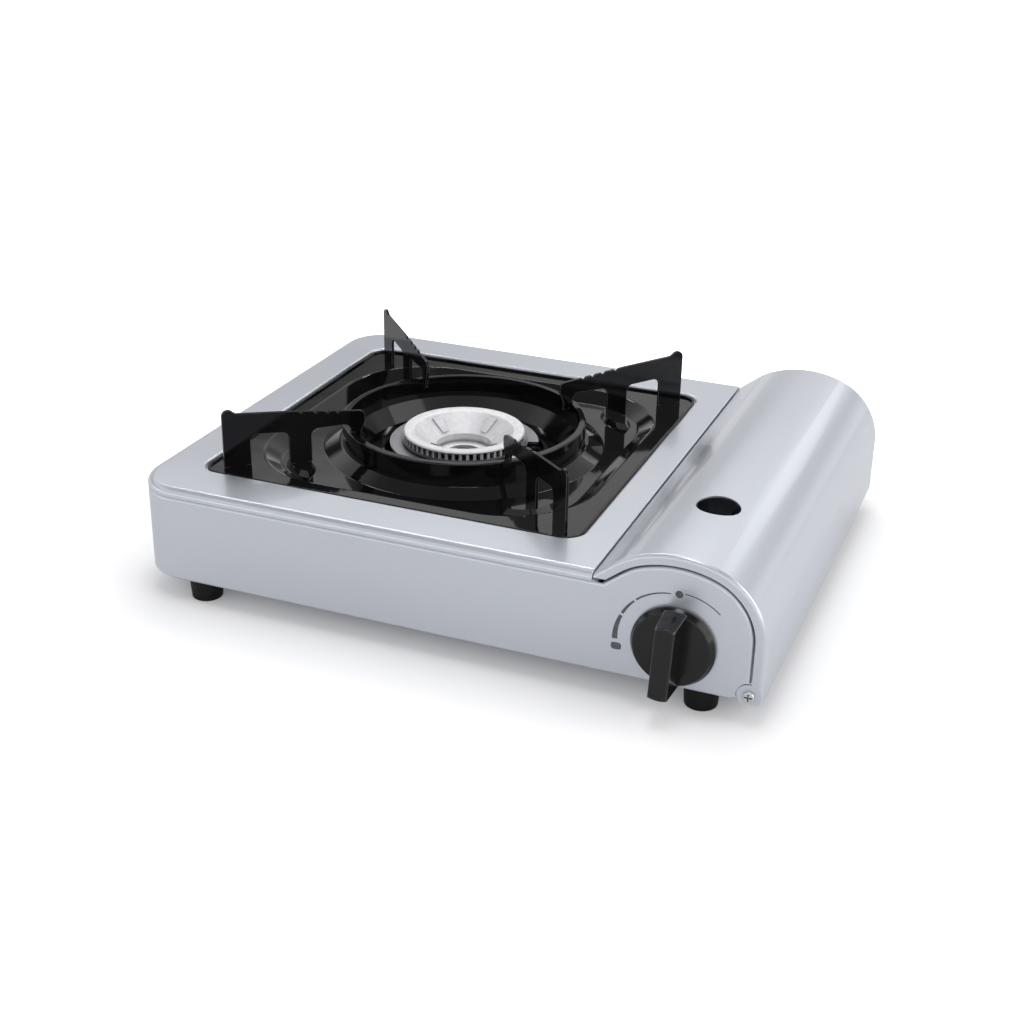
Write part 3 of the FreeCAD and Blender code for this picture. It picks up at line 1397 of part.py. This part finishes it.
def igniter_wire():
    points = wire_route()
    edges = []
    cursor = points[0]
    for before, corner, after in zip(points[:-2], points[1:-1], points[2:]):
        arriving = (corner - before).normalize()
        leaving = (after - corner).normalize()
        half_turn = arriving.getAngle(leaving) / 2
        reach = 0.45 * min((corner - before).Length, (after - corner).Length)
        radius = reach / math.tan(half_turn)
        bend_start = corner - arriving * reach
        bend_end = corner + leaving * reach
        inward = (leaving - arriving).normalize()
        middle = corner + inward * (radius / math.cos(half_turn) - radius)
        edges.append(line(cursor, bend_start))
        edges.append(arc(bend_start, middle, bend_end))
        cursor = bend_end
    edges.append(line(cursor, points[-1]))
    path = Part.Wire(edges)
    section = Part.Wire([Part.Circle(points[0], points[1] - points[0], wire_radius).toShape()])
    return path.makePipeShell([section], True, False)


# Write the parts

origin_shift = Vector(-body_width / 2, -(body_depth + hinge_side_gap + hinge_head_height - knob_depth) / 2, 0)


def save(node, shape):
    placed = shape.copy()
    placed.translate(origin_shift)
    placed.exportStep("parts/" + node + ".step")
    solids = placed.Solids
    print(node, "solids", len(solids), "volume", round(placed.Volume, 1), "valid", placed.isValid())


save("lower_casing", lower_casing())
save("cartridge_lid", cartridge_lid())
front_screw = hinge_screw()
save("lid_hinge_screws", Part.makeCompound([front_screw, mirrored_to_rear(front_screw)]))
front_nut = hinge_nut()
save("lid_hinge_nuts", Part.makeCompound([front_nut, mirrored_to_rear(front_nut)]))
save("top_plate", top_plate())
save("drip_pan", drip_pan())
save("wind_ring", wind_ring())
one_arm = support_arm()
arm_angles = {"rear_right": 45, "rear_left": 135, "front_left": 225, "front_right": 315}
for arm_name, arm_angle in arm_angles.items():
    save("support_arm_" + arm_name, about_burner(one_arm, arm_angle))
save("burner_cap", burner_cap())
save("burner_base", burner_base())
save("mixing_tube", mixing_tube())
save("air_damper", air_damper())
save("gas_jet", gas_jet())
save("gas_pipe", gas_pipe())
save("burner_bracket", burner_bracket())
save("burner_screws", burner_screws())
save("partition_wall", partition_wall())
save("heat_plate", heat_plate())
save("cartridge_rails", cartridge_rails())
save("regulator_body", regulator_body())
save("regulator_cover", regulator_cover())
save("cover_screws", cover_screws())
save("cartridge_socket", cartridge_socket())
save("socket_seal", socket_seal())
save("magnet_ring", magnet_ring())
save("magnet_holder", magnet_holder())
save("valve_spindle", valve_spindle())
save("cam_finger", cam_finger())
save("control_knob", control_knob())
save("igniter_body", igniter_body())
save("igniter_plunger", igniter_plunger())
save("igniter_bracket", igniter_bracket())
save("igniter_wire", igniter_wire())
save("electrode_ceramic", electrode_ceramic())
save("electrode_pin", electrode_pin())
save("electrode_clip", electrode_clip())
foot_names = ("front_left", "rear_left", "front_right", "rear_right")
for foot_name, (foot_x, foot_y) in zip(foot_names, foot_places()):
    save("foot_" + foot_name, foot(foot_x, foot_y))
save("foot_screws", foot_screws())
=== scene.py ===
import json
import math

import bmesh
import bpy
from mathutils import Matrix, Vector


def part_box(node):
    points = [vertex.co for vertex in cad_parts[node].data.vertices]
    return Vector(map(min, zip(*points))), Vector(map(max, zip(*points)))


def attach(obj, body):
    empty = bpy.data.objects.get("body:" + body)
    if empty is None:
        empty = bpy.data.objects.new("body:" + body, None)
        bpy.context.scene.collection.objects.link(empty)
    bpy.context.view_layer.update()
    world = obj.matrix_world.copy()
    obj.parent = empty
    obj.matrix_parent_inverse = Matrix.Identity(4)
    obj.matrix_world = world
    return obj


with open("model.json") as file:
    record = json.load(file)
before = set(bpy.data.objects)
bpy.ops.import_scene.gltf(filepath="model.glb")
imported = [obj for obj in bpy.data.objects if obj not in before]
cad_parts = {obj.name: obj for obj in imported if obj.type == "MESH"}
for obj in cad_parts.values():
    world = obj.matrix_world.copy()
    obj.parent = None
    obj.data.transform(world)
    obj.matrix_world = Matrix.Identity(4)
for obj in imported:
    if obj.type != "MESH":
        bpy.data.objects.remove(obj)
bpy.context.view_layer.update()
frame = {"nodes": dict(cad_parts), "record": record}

# Butane cassette stove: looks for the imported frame, in metres.
# The origin is under the middle of the stove, +X to the cartridge side, +Y to the rear, +Z up.

# Places taken from the frame
casing_low, casing_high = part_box("lower_casing")
panel_y = casing_low.y
knob_axis = Vector((0.1266, panel_y, 0.0344))

# Camera, fitted to the photograph
camera_place = Vector((0.29224, -0.75047, 0.40153))
camera_azimuth = 21.64
camera_elevation = 25.09
camera_roll = 0.98
camera_lens = 55.678


# Node helpers

def add_node(tree, kind, settings=None, **inputs):
    """A new node; an input is a value, or the socket of another node."""
    made = tree.nodes.new(kind)
    for name, value in (settings or {}).items():
        setattr(made, name, value)
    for name, value in inputs.items():
        socket = made.inputs[name.replace("_", " ")]
        if isinstance(value, bpy.types.NodeSocket):
            tree.links.new(value, socket)
        else:
            socket.default_value = value
    return made


def object_place(tree):
    return add_node(tree, "ShaderNodeTexCoord").outputs["Object"]


def noise(tree, place, scale, detail=2.0, roughness=0.5):
    made = add_node(
        tree, "ShaderNodeTexNoise",
        Vector=place, Scale=scale, Detail=detail, Roughness=roughness,
    )
    return made.outputs["Fac"]


def spread(tree, factor, low, high, start=0.3, end=0.7):
    """Maps a texture's factor between start and end to the numbers low and high."""
    made = add_node(tree, "ShaderNodeMapRange", Value=factor)
    made.inputs["From Min"].default_value = start
    made.inputs["From Max"].default_value = end
    made.inputs["To Min"].default_value = low
    made.inputs["To Max"].default_value = high
    return made.outputs["Result"]


def tinted(tree, factor, dark, light, start=0.3, end=0.7):
    ramp = add_node(tree, "ShaderNodeValToRGB", Fac=factor)
    ramp.color_ramp.elements[0].position = start
    ramp.color_ramp.elements[0].color = (*dark, 1.0)
    ramp.color_ramp.elements[1].position = end
    ramp.color_ramp.elements[1].color = (*light, 1.0)
    return ramp.outputs["Color"]


def bumped(tree, height, distance, strength=1.0, below=None):
    """A bump of the given height in metres; below is another bump that it lies on."""
    made = add_node(tree, "ShaderNodeBump", Height=height, Distance=distance, Strength=strength)
    if below is not None:
        tree.links.new(below, made.inputs["Normal"])
    return made.outputs["Normal"]


def new_material(name):
    material = bpy.data.materials.new(name)
    material.use_nodes = True
    shader = material.node_tree.nodes["Principled BSDF"]
    return material, material.node_tree, shader


def shade(colour, factor):
    return tuple(channel * factor for channel in colour)


# Materials

def silver_paint():
    """Light silver-blue metallic paint: fine flakes, soft clouds and a trace of orange peel."""
    colour = (0.66, 0.69, 0.755)
    material, tree, shader = new_material("silver_paint_look")
    place = object_place(tree)
    flakes = noise(tree, place, scale=2600.0, detail=3.0, roughness=0.7)
    clouds = noise(tree, place, scale=9.0, detail=2.0)
    fine = tinted(tree, flakes, shade(colour, 0.93), shade(colour, 1.06))
    broad = tinted(tree, clouds, shade(colour, 0.94), shade(colour, 1.05), start=0.0, end=1.0)
    mixed = add_node(tree, "ShaderNodeMix", {"data_type": "RGBA"})
    mixed.inputs["Factor"].default_value = 0.5
    tree.links.new(fine, mixed.inputs["A"])
    tree.links.new(broad, mixed.inputs["B"])
    tree.links.new(mixed.outputs["Result"], shader.inputs["Base Color"])
    satin = spread(tree, clouds, low=0.285, high=0.345, start=0.0, end=1.0)
    tree.links.new(satin, shader.inputs["Roughness"])
    ripple = noise(tree, place, scale=420.0, detail=1.0)
    peel = bumped(tree, ripple, distance=0.00002, strength=0.5)
    grain = bumped(tree, flakes, distance=0.00001, strength=0.4, below=peel)
    tree.links.new(grain, shader.inputs["Normal"])
    shader.inputs["Metallic"].default_value = 0.65
    shader.inputs["Coat Weight"].default_value = 0.5
    shader.inputs["Coat Roughness"].default_value = 0.06
    return material


def painted_edge_highlight(tree, colour, reach, edge_highlight):
    """The colour, paler within the reach in metres of an outer edge: a painted highlight along outer
    edges.
    """
    inside = add_node(
        tree, "ShaderNodeAmbientOcclusion", {"samples": 8, "inside": True, "only_local": True},
        Distance=reach,
    )
    edge = spread(tree, inside.outputs["AO"], low=1.0, high=0.0, start=0.55, end=0.80)
    mixed = add_node(tree, "ShaderNodeMix", {"data_type": "RGBA"})
    tree.links.new(edge, mixed.inputs["Factor"])
    tree.links.new(colour, mixed.inputs["A"])
    mixed.inputs["B"].default_value = (*edge_highlight, 1.0)
    return mixed.outputs["Result"]


def enamel(name, smoothest, roughest, wave, gloss, edge_highlight=None):
    """Glass enamel, nearly black: a slow wave from firing and fine pits in the gloss; an edge colour,
    when given, paints a highlight along outer edges.
    """
    material, tree, shader = new_material(name)
    place = object_place(tree)
    slow = noise(tree, place, scale=38.0, detail=1.0)
    pits = noise(tree, place, scale=900.0, detail=2.0, roughness=0.6)
    black = tinted(tree, slow, (0.003, 0.003, 0.0034), (0.006, 0.006, 0.0066))
    # Painted highlight: the colour is paler along outer edges.
    if edge_highlight is not None:
        black = painted_edge_highlight(tree, black, reach=0.0007, edge_highlight=edge_highlight)
    tree.links.new(black, shader.inputs["Base Color"])
    tree.links.new(spread(tree, pits, smoothest, roughest), shader.inputs["Roughness"])
    rolling = bumped(tree, slow, distance=wave, strength=0.5)
    pitted = bumped(tree, pits, distance=0.000008, strength=0.5, below=rolling)
    tree.links.new(pitted, shader.inputs["Normal"])
    shader.inputs["Specular IOR Level"].default_value = gloss
    return material


def painted_corner_shade(tree, colour, reach, darkest):
    """The colour with painted shade: darker in hollows and inner corners within the reach in metres."""
    hollow = add_node(
        tree, "ShaderNodeAmbientOcclusion", {"samples": 8, "only_local": True},
        Distance=reach,
    )
    painted_shade = spread(tree, hollow.outputs["AO"], low=darkest, high=1.0, start=0.35, end=0.95)
    product = add_node(tree, "ShaderNodeVectorMath", {"operation": "SCALE"})
    tree.links.new(colour, product.inputs[0])
    tree.links.new(painted_shade, product.inputs["Scale"])
    return product.outputs["Vector"]


def cast_metal(name, colour, roughness, grain_height, lathe_height):
    """Cast metal: a mottled skin, painted shade in its corners, and turning marks where its walls are
    upright.
    """
    material, tree, shader = new_material(name)
    place = object_place(tree)
    mottle = noise(tree, place, scale=300.0, detail=4.0, roughness=0.6)
    skin = noise(tree, place, scale=1500.0, detail=2.0, roughness=0.6)
    skin_colour = tinted(tree, mottle, shade(colour, 0.88), shade(colour, 1.04))
    # Painted shade: the skin is darkened in hollows and inner corners.
    shaded = painted_corner_shade(tree, skin_colour, reach=0.003, darkest=0.25)
    tree.links.new(shaded, shader.inputs["Base Color"])
    tree.links.new(spread(tree, mottle, roughness - 0.05, roughness + 0.07), shader.inputs["Roughness"])
    rings = add_node(
        tree, "ShaderNodeTexWave", {"bands_direction": "Z"},
        Vector=place, Scale=420.0, Distortion=1.5, Detail=2.0,
    )
    rough = bumped(tree, skin, distance=grain_height, strength=0.6)
    turned = bumped(tree, rings.outputs["Fac"], distance=lathe_height, strength=0.6, below=rough)
    tree.links.new(turned, shader.inputs["Normal"])
    shader.inputs["Metallic"].default_value = 1.0
    return material


def plated_sheet():
    """Zinc-plated sheet: a rolled grain along X and a cloudy bloom."""
    material, tree, shader = new_material("zinc_sheet_look")
    place = object_place(tree)
    stretched = add_node(tree, "ShaderNodeMapping", Vector=place)
    stretched.inputs["Scale"].default_value = (30.0, 900.0, 900.0)
    rolled = noise(tree, stretched.outputs["Vector"], scale=1.0, detail=2.0)
    bloom = noise(tree, place, scale=70.0, detail=4.0, roughness=0.6)
    zinc = tinted(tree, bloom, dark=(0.48, 0.49, 0.50), light=(0.64, 0.65, 0.66))
    tree.links.new(zinc, shader.inputs["Base Color"])
    tree.links.new(spread(tree, bloom, low=0.29, high=0.42), shader.inputs["Roughness"])
    tree.links.new(bumped(tree, rolled, distance=0.00001, strength=0.5), shader.inputs["Normal"])
    shader.inputs["Metallic"].default_value = 1.0
    return material


def bright_metal(name, colour, roughness):
    """Small turned parts: faint turning marks, finger-dulled patches and painted shade in corners."""
    material, tree, shader = new_material(name)
    place = object_place(tree)
    patches = noise(tree, place, scale=400.0, detail=3.0, roughness=0.6)
    marks = noise(tree, place, scale=3500.0, detail=1.0)
    worn = tinted(tree, patches, shade(colour, 0.85), colour)
    # Painted shade: the colour is darkened in hollows and inner corners.
    shaded = painted_corner_shade(tree, worn, reach=0.0015, darkest=0.05)
    tree.links.new(shaded, shader.inputs["Base Color"])
    tree.links.new(spread(tree, patches, roughness, roughness + 0.12), shader.inputs["Roughness"])
    tree.links.new(bumped(tree, marks, distance=0.000006, strength=0.5), shader.inputs["Normal"])
    shader.inputs["Metallic"].default_value = 1.0
    return material


def moulded(name, colour, roughness, scale, depth, gloss=0.5, edge_highlight=None):
    """Plastic or rubber with a spark-eroded grain; an edge colour, when given, paints a highlight along
    outer edges.
    """
    material, tree, shader = new_material(name)
    place = object_place(tree)
    grain = noise(tree, place, scale, detail=2.0, roughness=0.6)
    patches = noise(tree, place, scale=60.0, detail=2.0)
    skin = tinted(tree, patches, shade(colour, 0.85), shade(colour, 1.15))
    # Painted highlight: the colour is paler along outer edges.
    if edge_highlight is not None:
        skin = painted_edge_highlight(tree, skin, reach=0.0014, edge_highlight=edge_highlight)
    tree.links.new(skin, shader.inputs["Base Color"])
    tree.links.new(spread(tree, grain, roughness - 0.05, roughness + 0.08), shader.inputs["Roughness"])
    tree.links.new(bumped(tree, grain, distance=depth, strength=0.6), shader.inputs["Normal"])
    shader.inputs["Specular IOR Level"].default_value = gloss
    return material


def printed_ink():
    """Grey ink printed on the panel, a little worn."""
    material, tree, shader = new_material("dial_ink_look")
    place = object_place(tree)
    wear = noise(tree, place, scale=1400.0, detail=3.0, roughness=0.6)
    ink = tinted(tree, wear, dark=(0.055, 0.058, 0.066), light=(0.14, 0.145, 0.16))
    tree.links.new(ink, shader.inputs["Base Color"])
    tree.links.new(spread(tree, wear, low=0.4, high=0.55), shader.inputs["Roughness"])
    tree.links.new(bumped(tree, wear, distance=0.000006, strength=0.5), shader.inputs["Normal"])
    return material


def dress_nodes():
    """Gives every node of the frame the look of its material slot."""
    looks = {
        "silver_paint": silver_paint(),
        "black_enamel": enamel(
            "black_enamel_look", smoothest=0.05, roughest=0.10, wave=0.00025, gloss=0.40,
        ),
        "cap_aluminium": cast_metal(
            "cap_aluminium_look", (0.86, 0.86, 0.88), roughness=0.58,
            grain_height=0.000012, lathe_height=0.00001,
        ),
        # The burner base's grey is partly its dull cast skin, partly painted shade for where it sits
        # under the wind ring.
        "cast_aluminium": cast_metal(
            "cast_aluminium_look", (0.36, 0.36, 0.38), roughness=0.42,
            grain_height=0.00004, lathe_height=0.0,
        ),
        "zinc_sheet": plated_sheet(),
        "zinc_screw": bright_metal("zinc_screw_look", (0.80, 0.80, 0.82), roughness=0.14),
        "brass": bright_metal("brass_look", (0.76, 0.57, 0.26), roughness=0.29),
        "copper_pipe": bright_metal("copper_pipe_look", (0.78, 0.44, 0.29), roughness=0.29),
        "black_rubber": moulded(
            "black_rubber_look", (0.004, 0.004, 0.005), roughness=0.45, scale=1600.0, depth=0.00002,
            gloss=0.25,
        ),
        # The knob's edges get a painted highlight.
        "knob_plastic": moulded(
            "knob_plastic_look", (0.004, 0.004, 0.0046), roughness=0.18, scale=2400.0, depth=0.000004,
            gloss=0.42, edge_highlight=(0.22, 0.225, 0.235),
        ),
        "igniter_plastic": moulded(
            "igniter_plastic_look", (0.03, 0.03, 0.034), roughness=0.35, scale=2200.0, depth=0.00001,
        ),
        "wire_sheath": moulded(
            "wire_sheath_look", (0.62, 0.58, 0.50), roughness=0.45, scale=1800.0, depth=0.00001,
        ),
        "white_ceramic": moulded(
            "white_ceramic_look", (0.80, 0.78, 0.72), roughness=0.16, scale=1200.0, depth=0.000008,
        ),
        "ferrite": moulded(
            "ferrite_look", (0.035, 0.035, 0.04), roughness=0.55, scale=2200.0, depth=0.00002,
        ),
    }
    # The arms' edges get a painted highlight.
    arm_look = enamel(
        "arm_enamel_look", smoothest=0.08, roughest=0.14, wave=0.0001,
        gloss=0.25, edge_highlight=(0.07, 0.07, 0.076),
    )
    for part in frame["record"]["subparts"]:
        node = frame["nodes"][part["node"]]
        look = looks[part["material_slot"]]
        if part["node"].startswith("support_arm"):
            look = arm_look
        node.data.materials.clear()
        node.data.materials.append(look)


# Small pieces that are too thin for the frame

def flat_piece(name, outlines, y, thickness):
    """A thin raised print on the front panel; each outline is a closed list of (x, z)."""
    mesh = bpy.data.meshes.new(name)
    form = bmesh.new()
    for outline in outlines:
        front = [form.verts.new((x, y - thickness, z)) for x, z in outline]
        back = [form.verts.new((x, y, z)) for x, z in outline]
        form.faces.new(front)
        form.faces.new(reversed(back))
        for index in range(len(outline)):
            following = (index + 1) % len(outline)
            form.faces.new((front[following], front[index], back[index], back[following]))
    bmesh.ops.recalc_face_normals(form, faces=form.faces)
    form.to_mesh(mesh)
    form.free()
    piece = bpy.data.objects.new(name, mesh)
    bpy.context.scene.collection.objects.link(piece)
    return piece


def about_knob(radius, angle):
    turn = math.radians(angle)
    return (knob_axis.x + radius * math.cos(turn), knob_axis.z + radius * math.sin(turn))


def band(start, end, start_width, end_width, start_radius, end_radius, steps=24):
    """A curved band round the knob that widens from its start to its end; angles from +X."""
    outer = []
    inner = []
    for step in range(steps + 1):
        part = step / steps
        angle = start + (end - start) * part
        half = (start_width + (end_width - start_width) * part) / 2
        radius = start_radius + (end_radius - start_radius) * part
        outer.append(about_knob(radius + half, angle))
        inner.append(about_knob(radius - half, angle))
    return outer + inner[::-1]


def rounded_mark(centre, half_width, half_height, squareness, steps=32):
    """A closed outline: a squareness of 1 gives an ellipse, less gives squarer corners."""
    outline = []
    for step in range(steps):
        turn = 2 * math.pi * step / steps
        across = abs(math.cos(turn)) ** squareness * math.copysign(1.0, math.cos(turn))
        along = abs(math.sin(turn)) ** squareness * math.copysign(1.0, math.sin(turn))
        outline.append((centre[0] + half_width * across, centre[1] + half_height * along))
    return outline


def dial_print():
    """Flame-size band to the left of the knob, a dot above it and a thin line to the right."""
    dot_radius = 0.0019
    thin_line = 0.0006
    print_thickness = 0.00002
    outlines = [
        rounded_mark(about_knob(0.0270, 87.5), dot_radius, dot_radius, squareness=1.0),
        band(96.0, 134.0, thin_line, 0.0010, 0.0267, 0.0277),
        band(136.5, 156.0, 0.0010, 0.0016, 0.0277, 0.0281),
        band(158.5, 185.5, 0.0017, 0.0028, 0.0281, 0.0289),
        band(82.0, 44.5, thin_line, thin_line, 0.0280, 0.0294),
        rounded_mark(about_knob(0.0287, 193.3), half_width=0.0026, half_height=0.0019, squareness=0.6),
    ]
    piece = flat_piece("dial_print", outlines, panel_y, print_thickness)
    piece.data.materials.append(printed_ink())
    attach(piece, "stove")


# Studio

# How bright the room is against a direction's height, as a part of room_brightest;
# the second list is for the left side
room_brightest = 1.30
room_levels = [
    (0.0, 0.76), (0.10, 0.70), (0.20, 0.32), (0.30, 0.32), (0.38, 0.65),
    (0.47, 0.67), (0.56, 0.60), (0.69, 0.58), (0.80, 0.22), (1.0, 0.20),
]
room_left_levels = [
    (0.0, 0.76), (0.16, 0.66), (0.27, 0.04), (0.36, 0.04), (0.42, 0.80),
    (0.50, 0.80), (0.58, 0.62), (0.69, 0.58), (0.80, 0.22), (1.0, 0.20),
]


def vector_step(tree, operation, first, second=None):
    made = add_node(tree, "ShaderNodeVectorMath", {"operation": operation})
    tree.links.new(first, made.inputs[0])
    if second is not None:
        made.inputs[1].default_value = second
    return made.outputs["Value" if operation == "LENGTH" else "Vector"]


def from_casing(tree):
    """How far a point of the floor lies from a box a little smaller than the casing's outline."""
    inset = 0.03
    middle = (casing_low + casing_high) / 2
    half = (casing_high - casing_low) / 2
    across = vector_step(tree, "SUBTRACT", object_place(tree), (middle.x, middle.y, 0.0))
    folded = vector_step(tree, "ABSOLUTE", across)
    beyond = vector_step(tree, "SUBTRACT", folded, (half.x - inset, half.y - inset, 0.0))
    outside = vector_step(tree, "MAXIMUM", beyond, (0.0, 0.0, 0.0))
    return vector_step(tree, "LENGTH", outside)


def studio_floor():
    """White table: the camera sees it lifted to white, and the stove's shadow stays on it; the lift is
    weaker close to the casing, which paints extra shade on the floor round the stove.
    """
    mesh = bpy.data.meshes.new("studio_floor")
    half = 8.0
    corners = [(-half, -half, 0), (half, -half, 0), (half, half, 0), (-half, half, 0)]
    mesh.from_pydata(corners, [], [(0, 1, 2, 3)])
    floor = bpy.data.objects.new("studio_floor", mesh)
    bpy.context.scene.collection.objects.link(floor)
    material, tree, shader = new_material("studio_floor_look")
    shader.inputs["Base Color"].default_value = (0.82, 0.82, 0.83, 1.0)
    shader.inputs["Roughness"].default_value = 0.9
    shader.inputs["Specular IOR Level"].default_value = 0.0
    lift = add_node(tree, "ShaderNodeEmission")
    # Painted shade: the lift falls off close to the casing, darkening the floor round the stove.
    strength = spread(tree, from_casing(tree), low=0.06, high=1.0, start=0.0, end=0.17)
    tree.links.new(strength, lift.inputs["Strength"])
    path = add_node(tree, "ShaderNodeLightPath")
    both = add_node(tree, "ShaderNodeAddShader")
    tree.links.new(shader.outputs["BSDF"], both.inputs[0])
    tree.links.new(lift.outputs["Emission"], both.inputs[1])
    chosen = add_node(tree, "ShaderNodeMixShader")
    tree.links.new(path.outputs["Is Camera Ray"], chosen.inputs[0])
    tree.links.new(shader.outputs["BSDF"], chosen.inputs[1])
    tree.links.new(both.outputs["Shader"], chosen.inputs[2])
    tree.links.new(chosen.outputs["Shader"], tree.nodes["Material Output"].inputs["Surface"])
    mesh.materials.append(material)


def softbox(name, place, target, width, height, power):
    lamp = bpy.data.lights.new(name, "AREA")
    lamp.shape = "RECTANGLE"
    lamp.size = width
    lamp.size_y = height
    lamp.energy = power
    holder = bpy.data.objects.new(name, lamp)
    holder.location = place
    holder.rotation_euler = (Vector(target) - Vector(place)).to_track_quat("-Z", "Y").to_euler()
    bpy.context.scene.collection.objects.link(holder)


def grey_ramp(tree, factor, stops):
    """A level from 0 to 1 along the factor; stops are (position, level) with positions from 0 to 1."""
    ramp = add_node(tree, "ShaderNodeValToRGB", Fac=factor)
    elements = ramp.color_ramp.elements
    for position, _ in stops[1:-1]:
        elements.new(position)
    for element, (_, level) in zip(elements, stops):
        element.color = (level, level, level, 1.0)
    return ramp.outputs["Color"]


def studio_light():
    """A soft room, brighter low in front and dimmer low behind on the left, and four softboxes."""
    world = bpy.data.worlds.new("studio")
    bpy.context.scene.world = world
    world.use_nodes = True
    tree = world.node_tree
    around = tree.nodes["Background"]
    direction = add_node(tree, "ShaderNodeTexCoord").outputs["Generated"]
    parts = add_node(tree, "ShaderNodeSeparateXYZ", Vector=direction)
    aside = spread(tree, parts.outputs["X"], low=1.0, high=0.0, start=-0.50, end=-0.28)
    room = add_node(tree, "ShaderNodeMix", {"data_type": "FLOAT"}, Factor=aside)
    tree.links.new(grey_ramp(tree, parts.outputs["Z"], room_levels), room.inputs["A"])
    tree.links.new(grey_ramp(tree, parts.outputs["Z"], room_left_levels), room.inputs["B"])
    low = grey_ramp(tree, parts.outputs["Z"], [(0.0, 1.0), (0.15, 1.0), (0.20, 0.0), (1.0, 0.0)])
    before = spread(tree, parts.outputs["Y"], low=0.95, high=0.0, start=-0.15, end=0.05)
    extra = add_node(tree, "ShaderNodeMath", {"operation": "MULTIPLY"})
    tree.links.new(low, extra.inputs[0])
    tree.links.new(before, extra.inputs[1])
    level = add_node(tree, "ShaderNodeMath", {"operation": "MULTIPLY_ADD"})
    tree.links.new(room.outputs["Result"], level.inputs[0])
    level.inputs[1].default_value = room_brightest
    tree.links.new(extra.outputs["Value"], level.inputs[2])
    tree.links.new(level.outputs["Value"], around.inputs["Strength"])
    around.inputs["Color"].default_value = (1.0, 1.0, 1.0, 1.0)
    white = add_node(tree, "ShaderNodeBackground", Strength=1.0)
    white.inputs["Color"].default_value = (1.0, 1.0, 1.0, 1.0)
    path = add_node(tree, "ShaderNodeLightPath")
    chosen = add_node(tree, "ShaderNodeMixShader")
    tree.links.new(path.outputs["Is Camera Ray"], chosen.inputs[0])
    tree.links.new(around.outputs["Background"], chosen.inputs[1])
    tree.links.new(white.outputs["Background"], chosen.inputs[2])
    tree.links.new(chosen.outputs["Shader"], tree.nodes["World Output"].inputs["Surface"])
    middle = (0, 0, 0.05)
    softbox("softbox_rear", (0.48, 1.70, 0.82), (0.15, 0, 0.05), width=0.42, height=0.35, power=0.42)
    softbox("softbox_high", (-0.45, 1.20, 1.55), middle, width=1.6, height=0.14, power=6.3)
    softbox("softbox_above", (0.05, -0.15, 1.8), middle, width=0.5, height=0.5, power=5.0)
    softbox("softbox_right", (1.5, 0.1, 0.7), (0.1, 0, 0.05), width=1.2, height=1.3, power=7.0)


def photo_camera():
    azimuth = math.radians(camera_azimuth)
    elevation = math.radians(camera_elevation)
    roll = math.radians(camera_roll)
    back = Vector((
        math.sin(azimuth) * math.cos(elevation),
        -math.cos(azimuth) * math.cos(elevation),
        math.sin(elevation),
    ))
    right = Vector((math.cos(azimuth), math.sin(azimuth), 0.0))
    up = back.cross(right)
    turned_right = right * math.cos(roll) + up * math.sin(roll)
    turned_up = up * math.cos(roll) - right * math.sin(roll)
    lens = bpy.data.cameras.new("photo_camera")
    lens.lens = camera_lens
    lens.sensor_width = 36.0
    lens.clip_start = 0.01
    lens.clip_end = 50.0
    camera = bpy.data.objects.new("photo_camera", lens)
    turn = Matrix((turned_right, turned_up, back)).transposed().to_4x4()
    camera.matrix_world = Matrix.Translation(camera_place) @ turn
    bpy.context.scene.collection.objects.link(camera)
    bpy.context.scene.camera = camera


bpy.context.scene.view_settings.view_transform = "Standard"
dress_nodes()
dial_print()
studio_floor()
studio_light()
photo_camera()
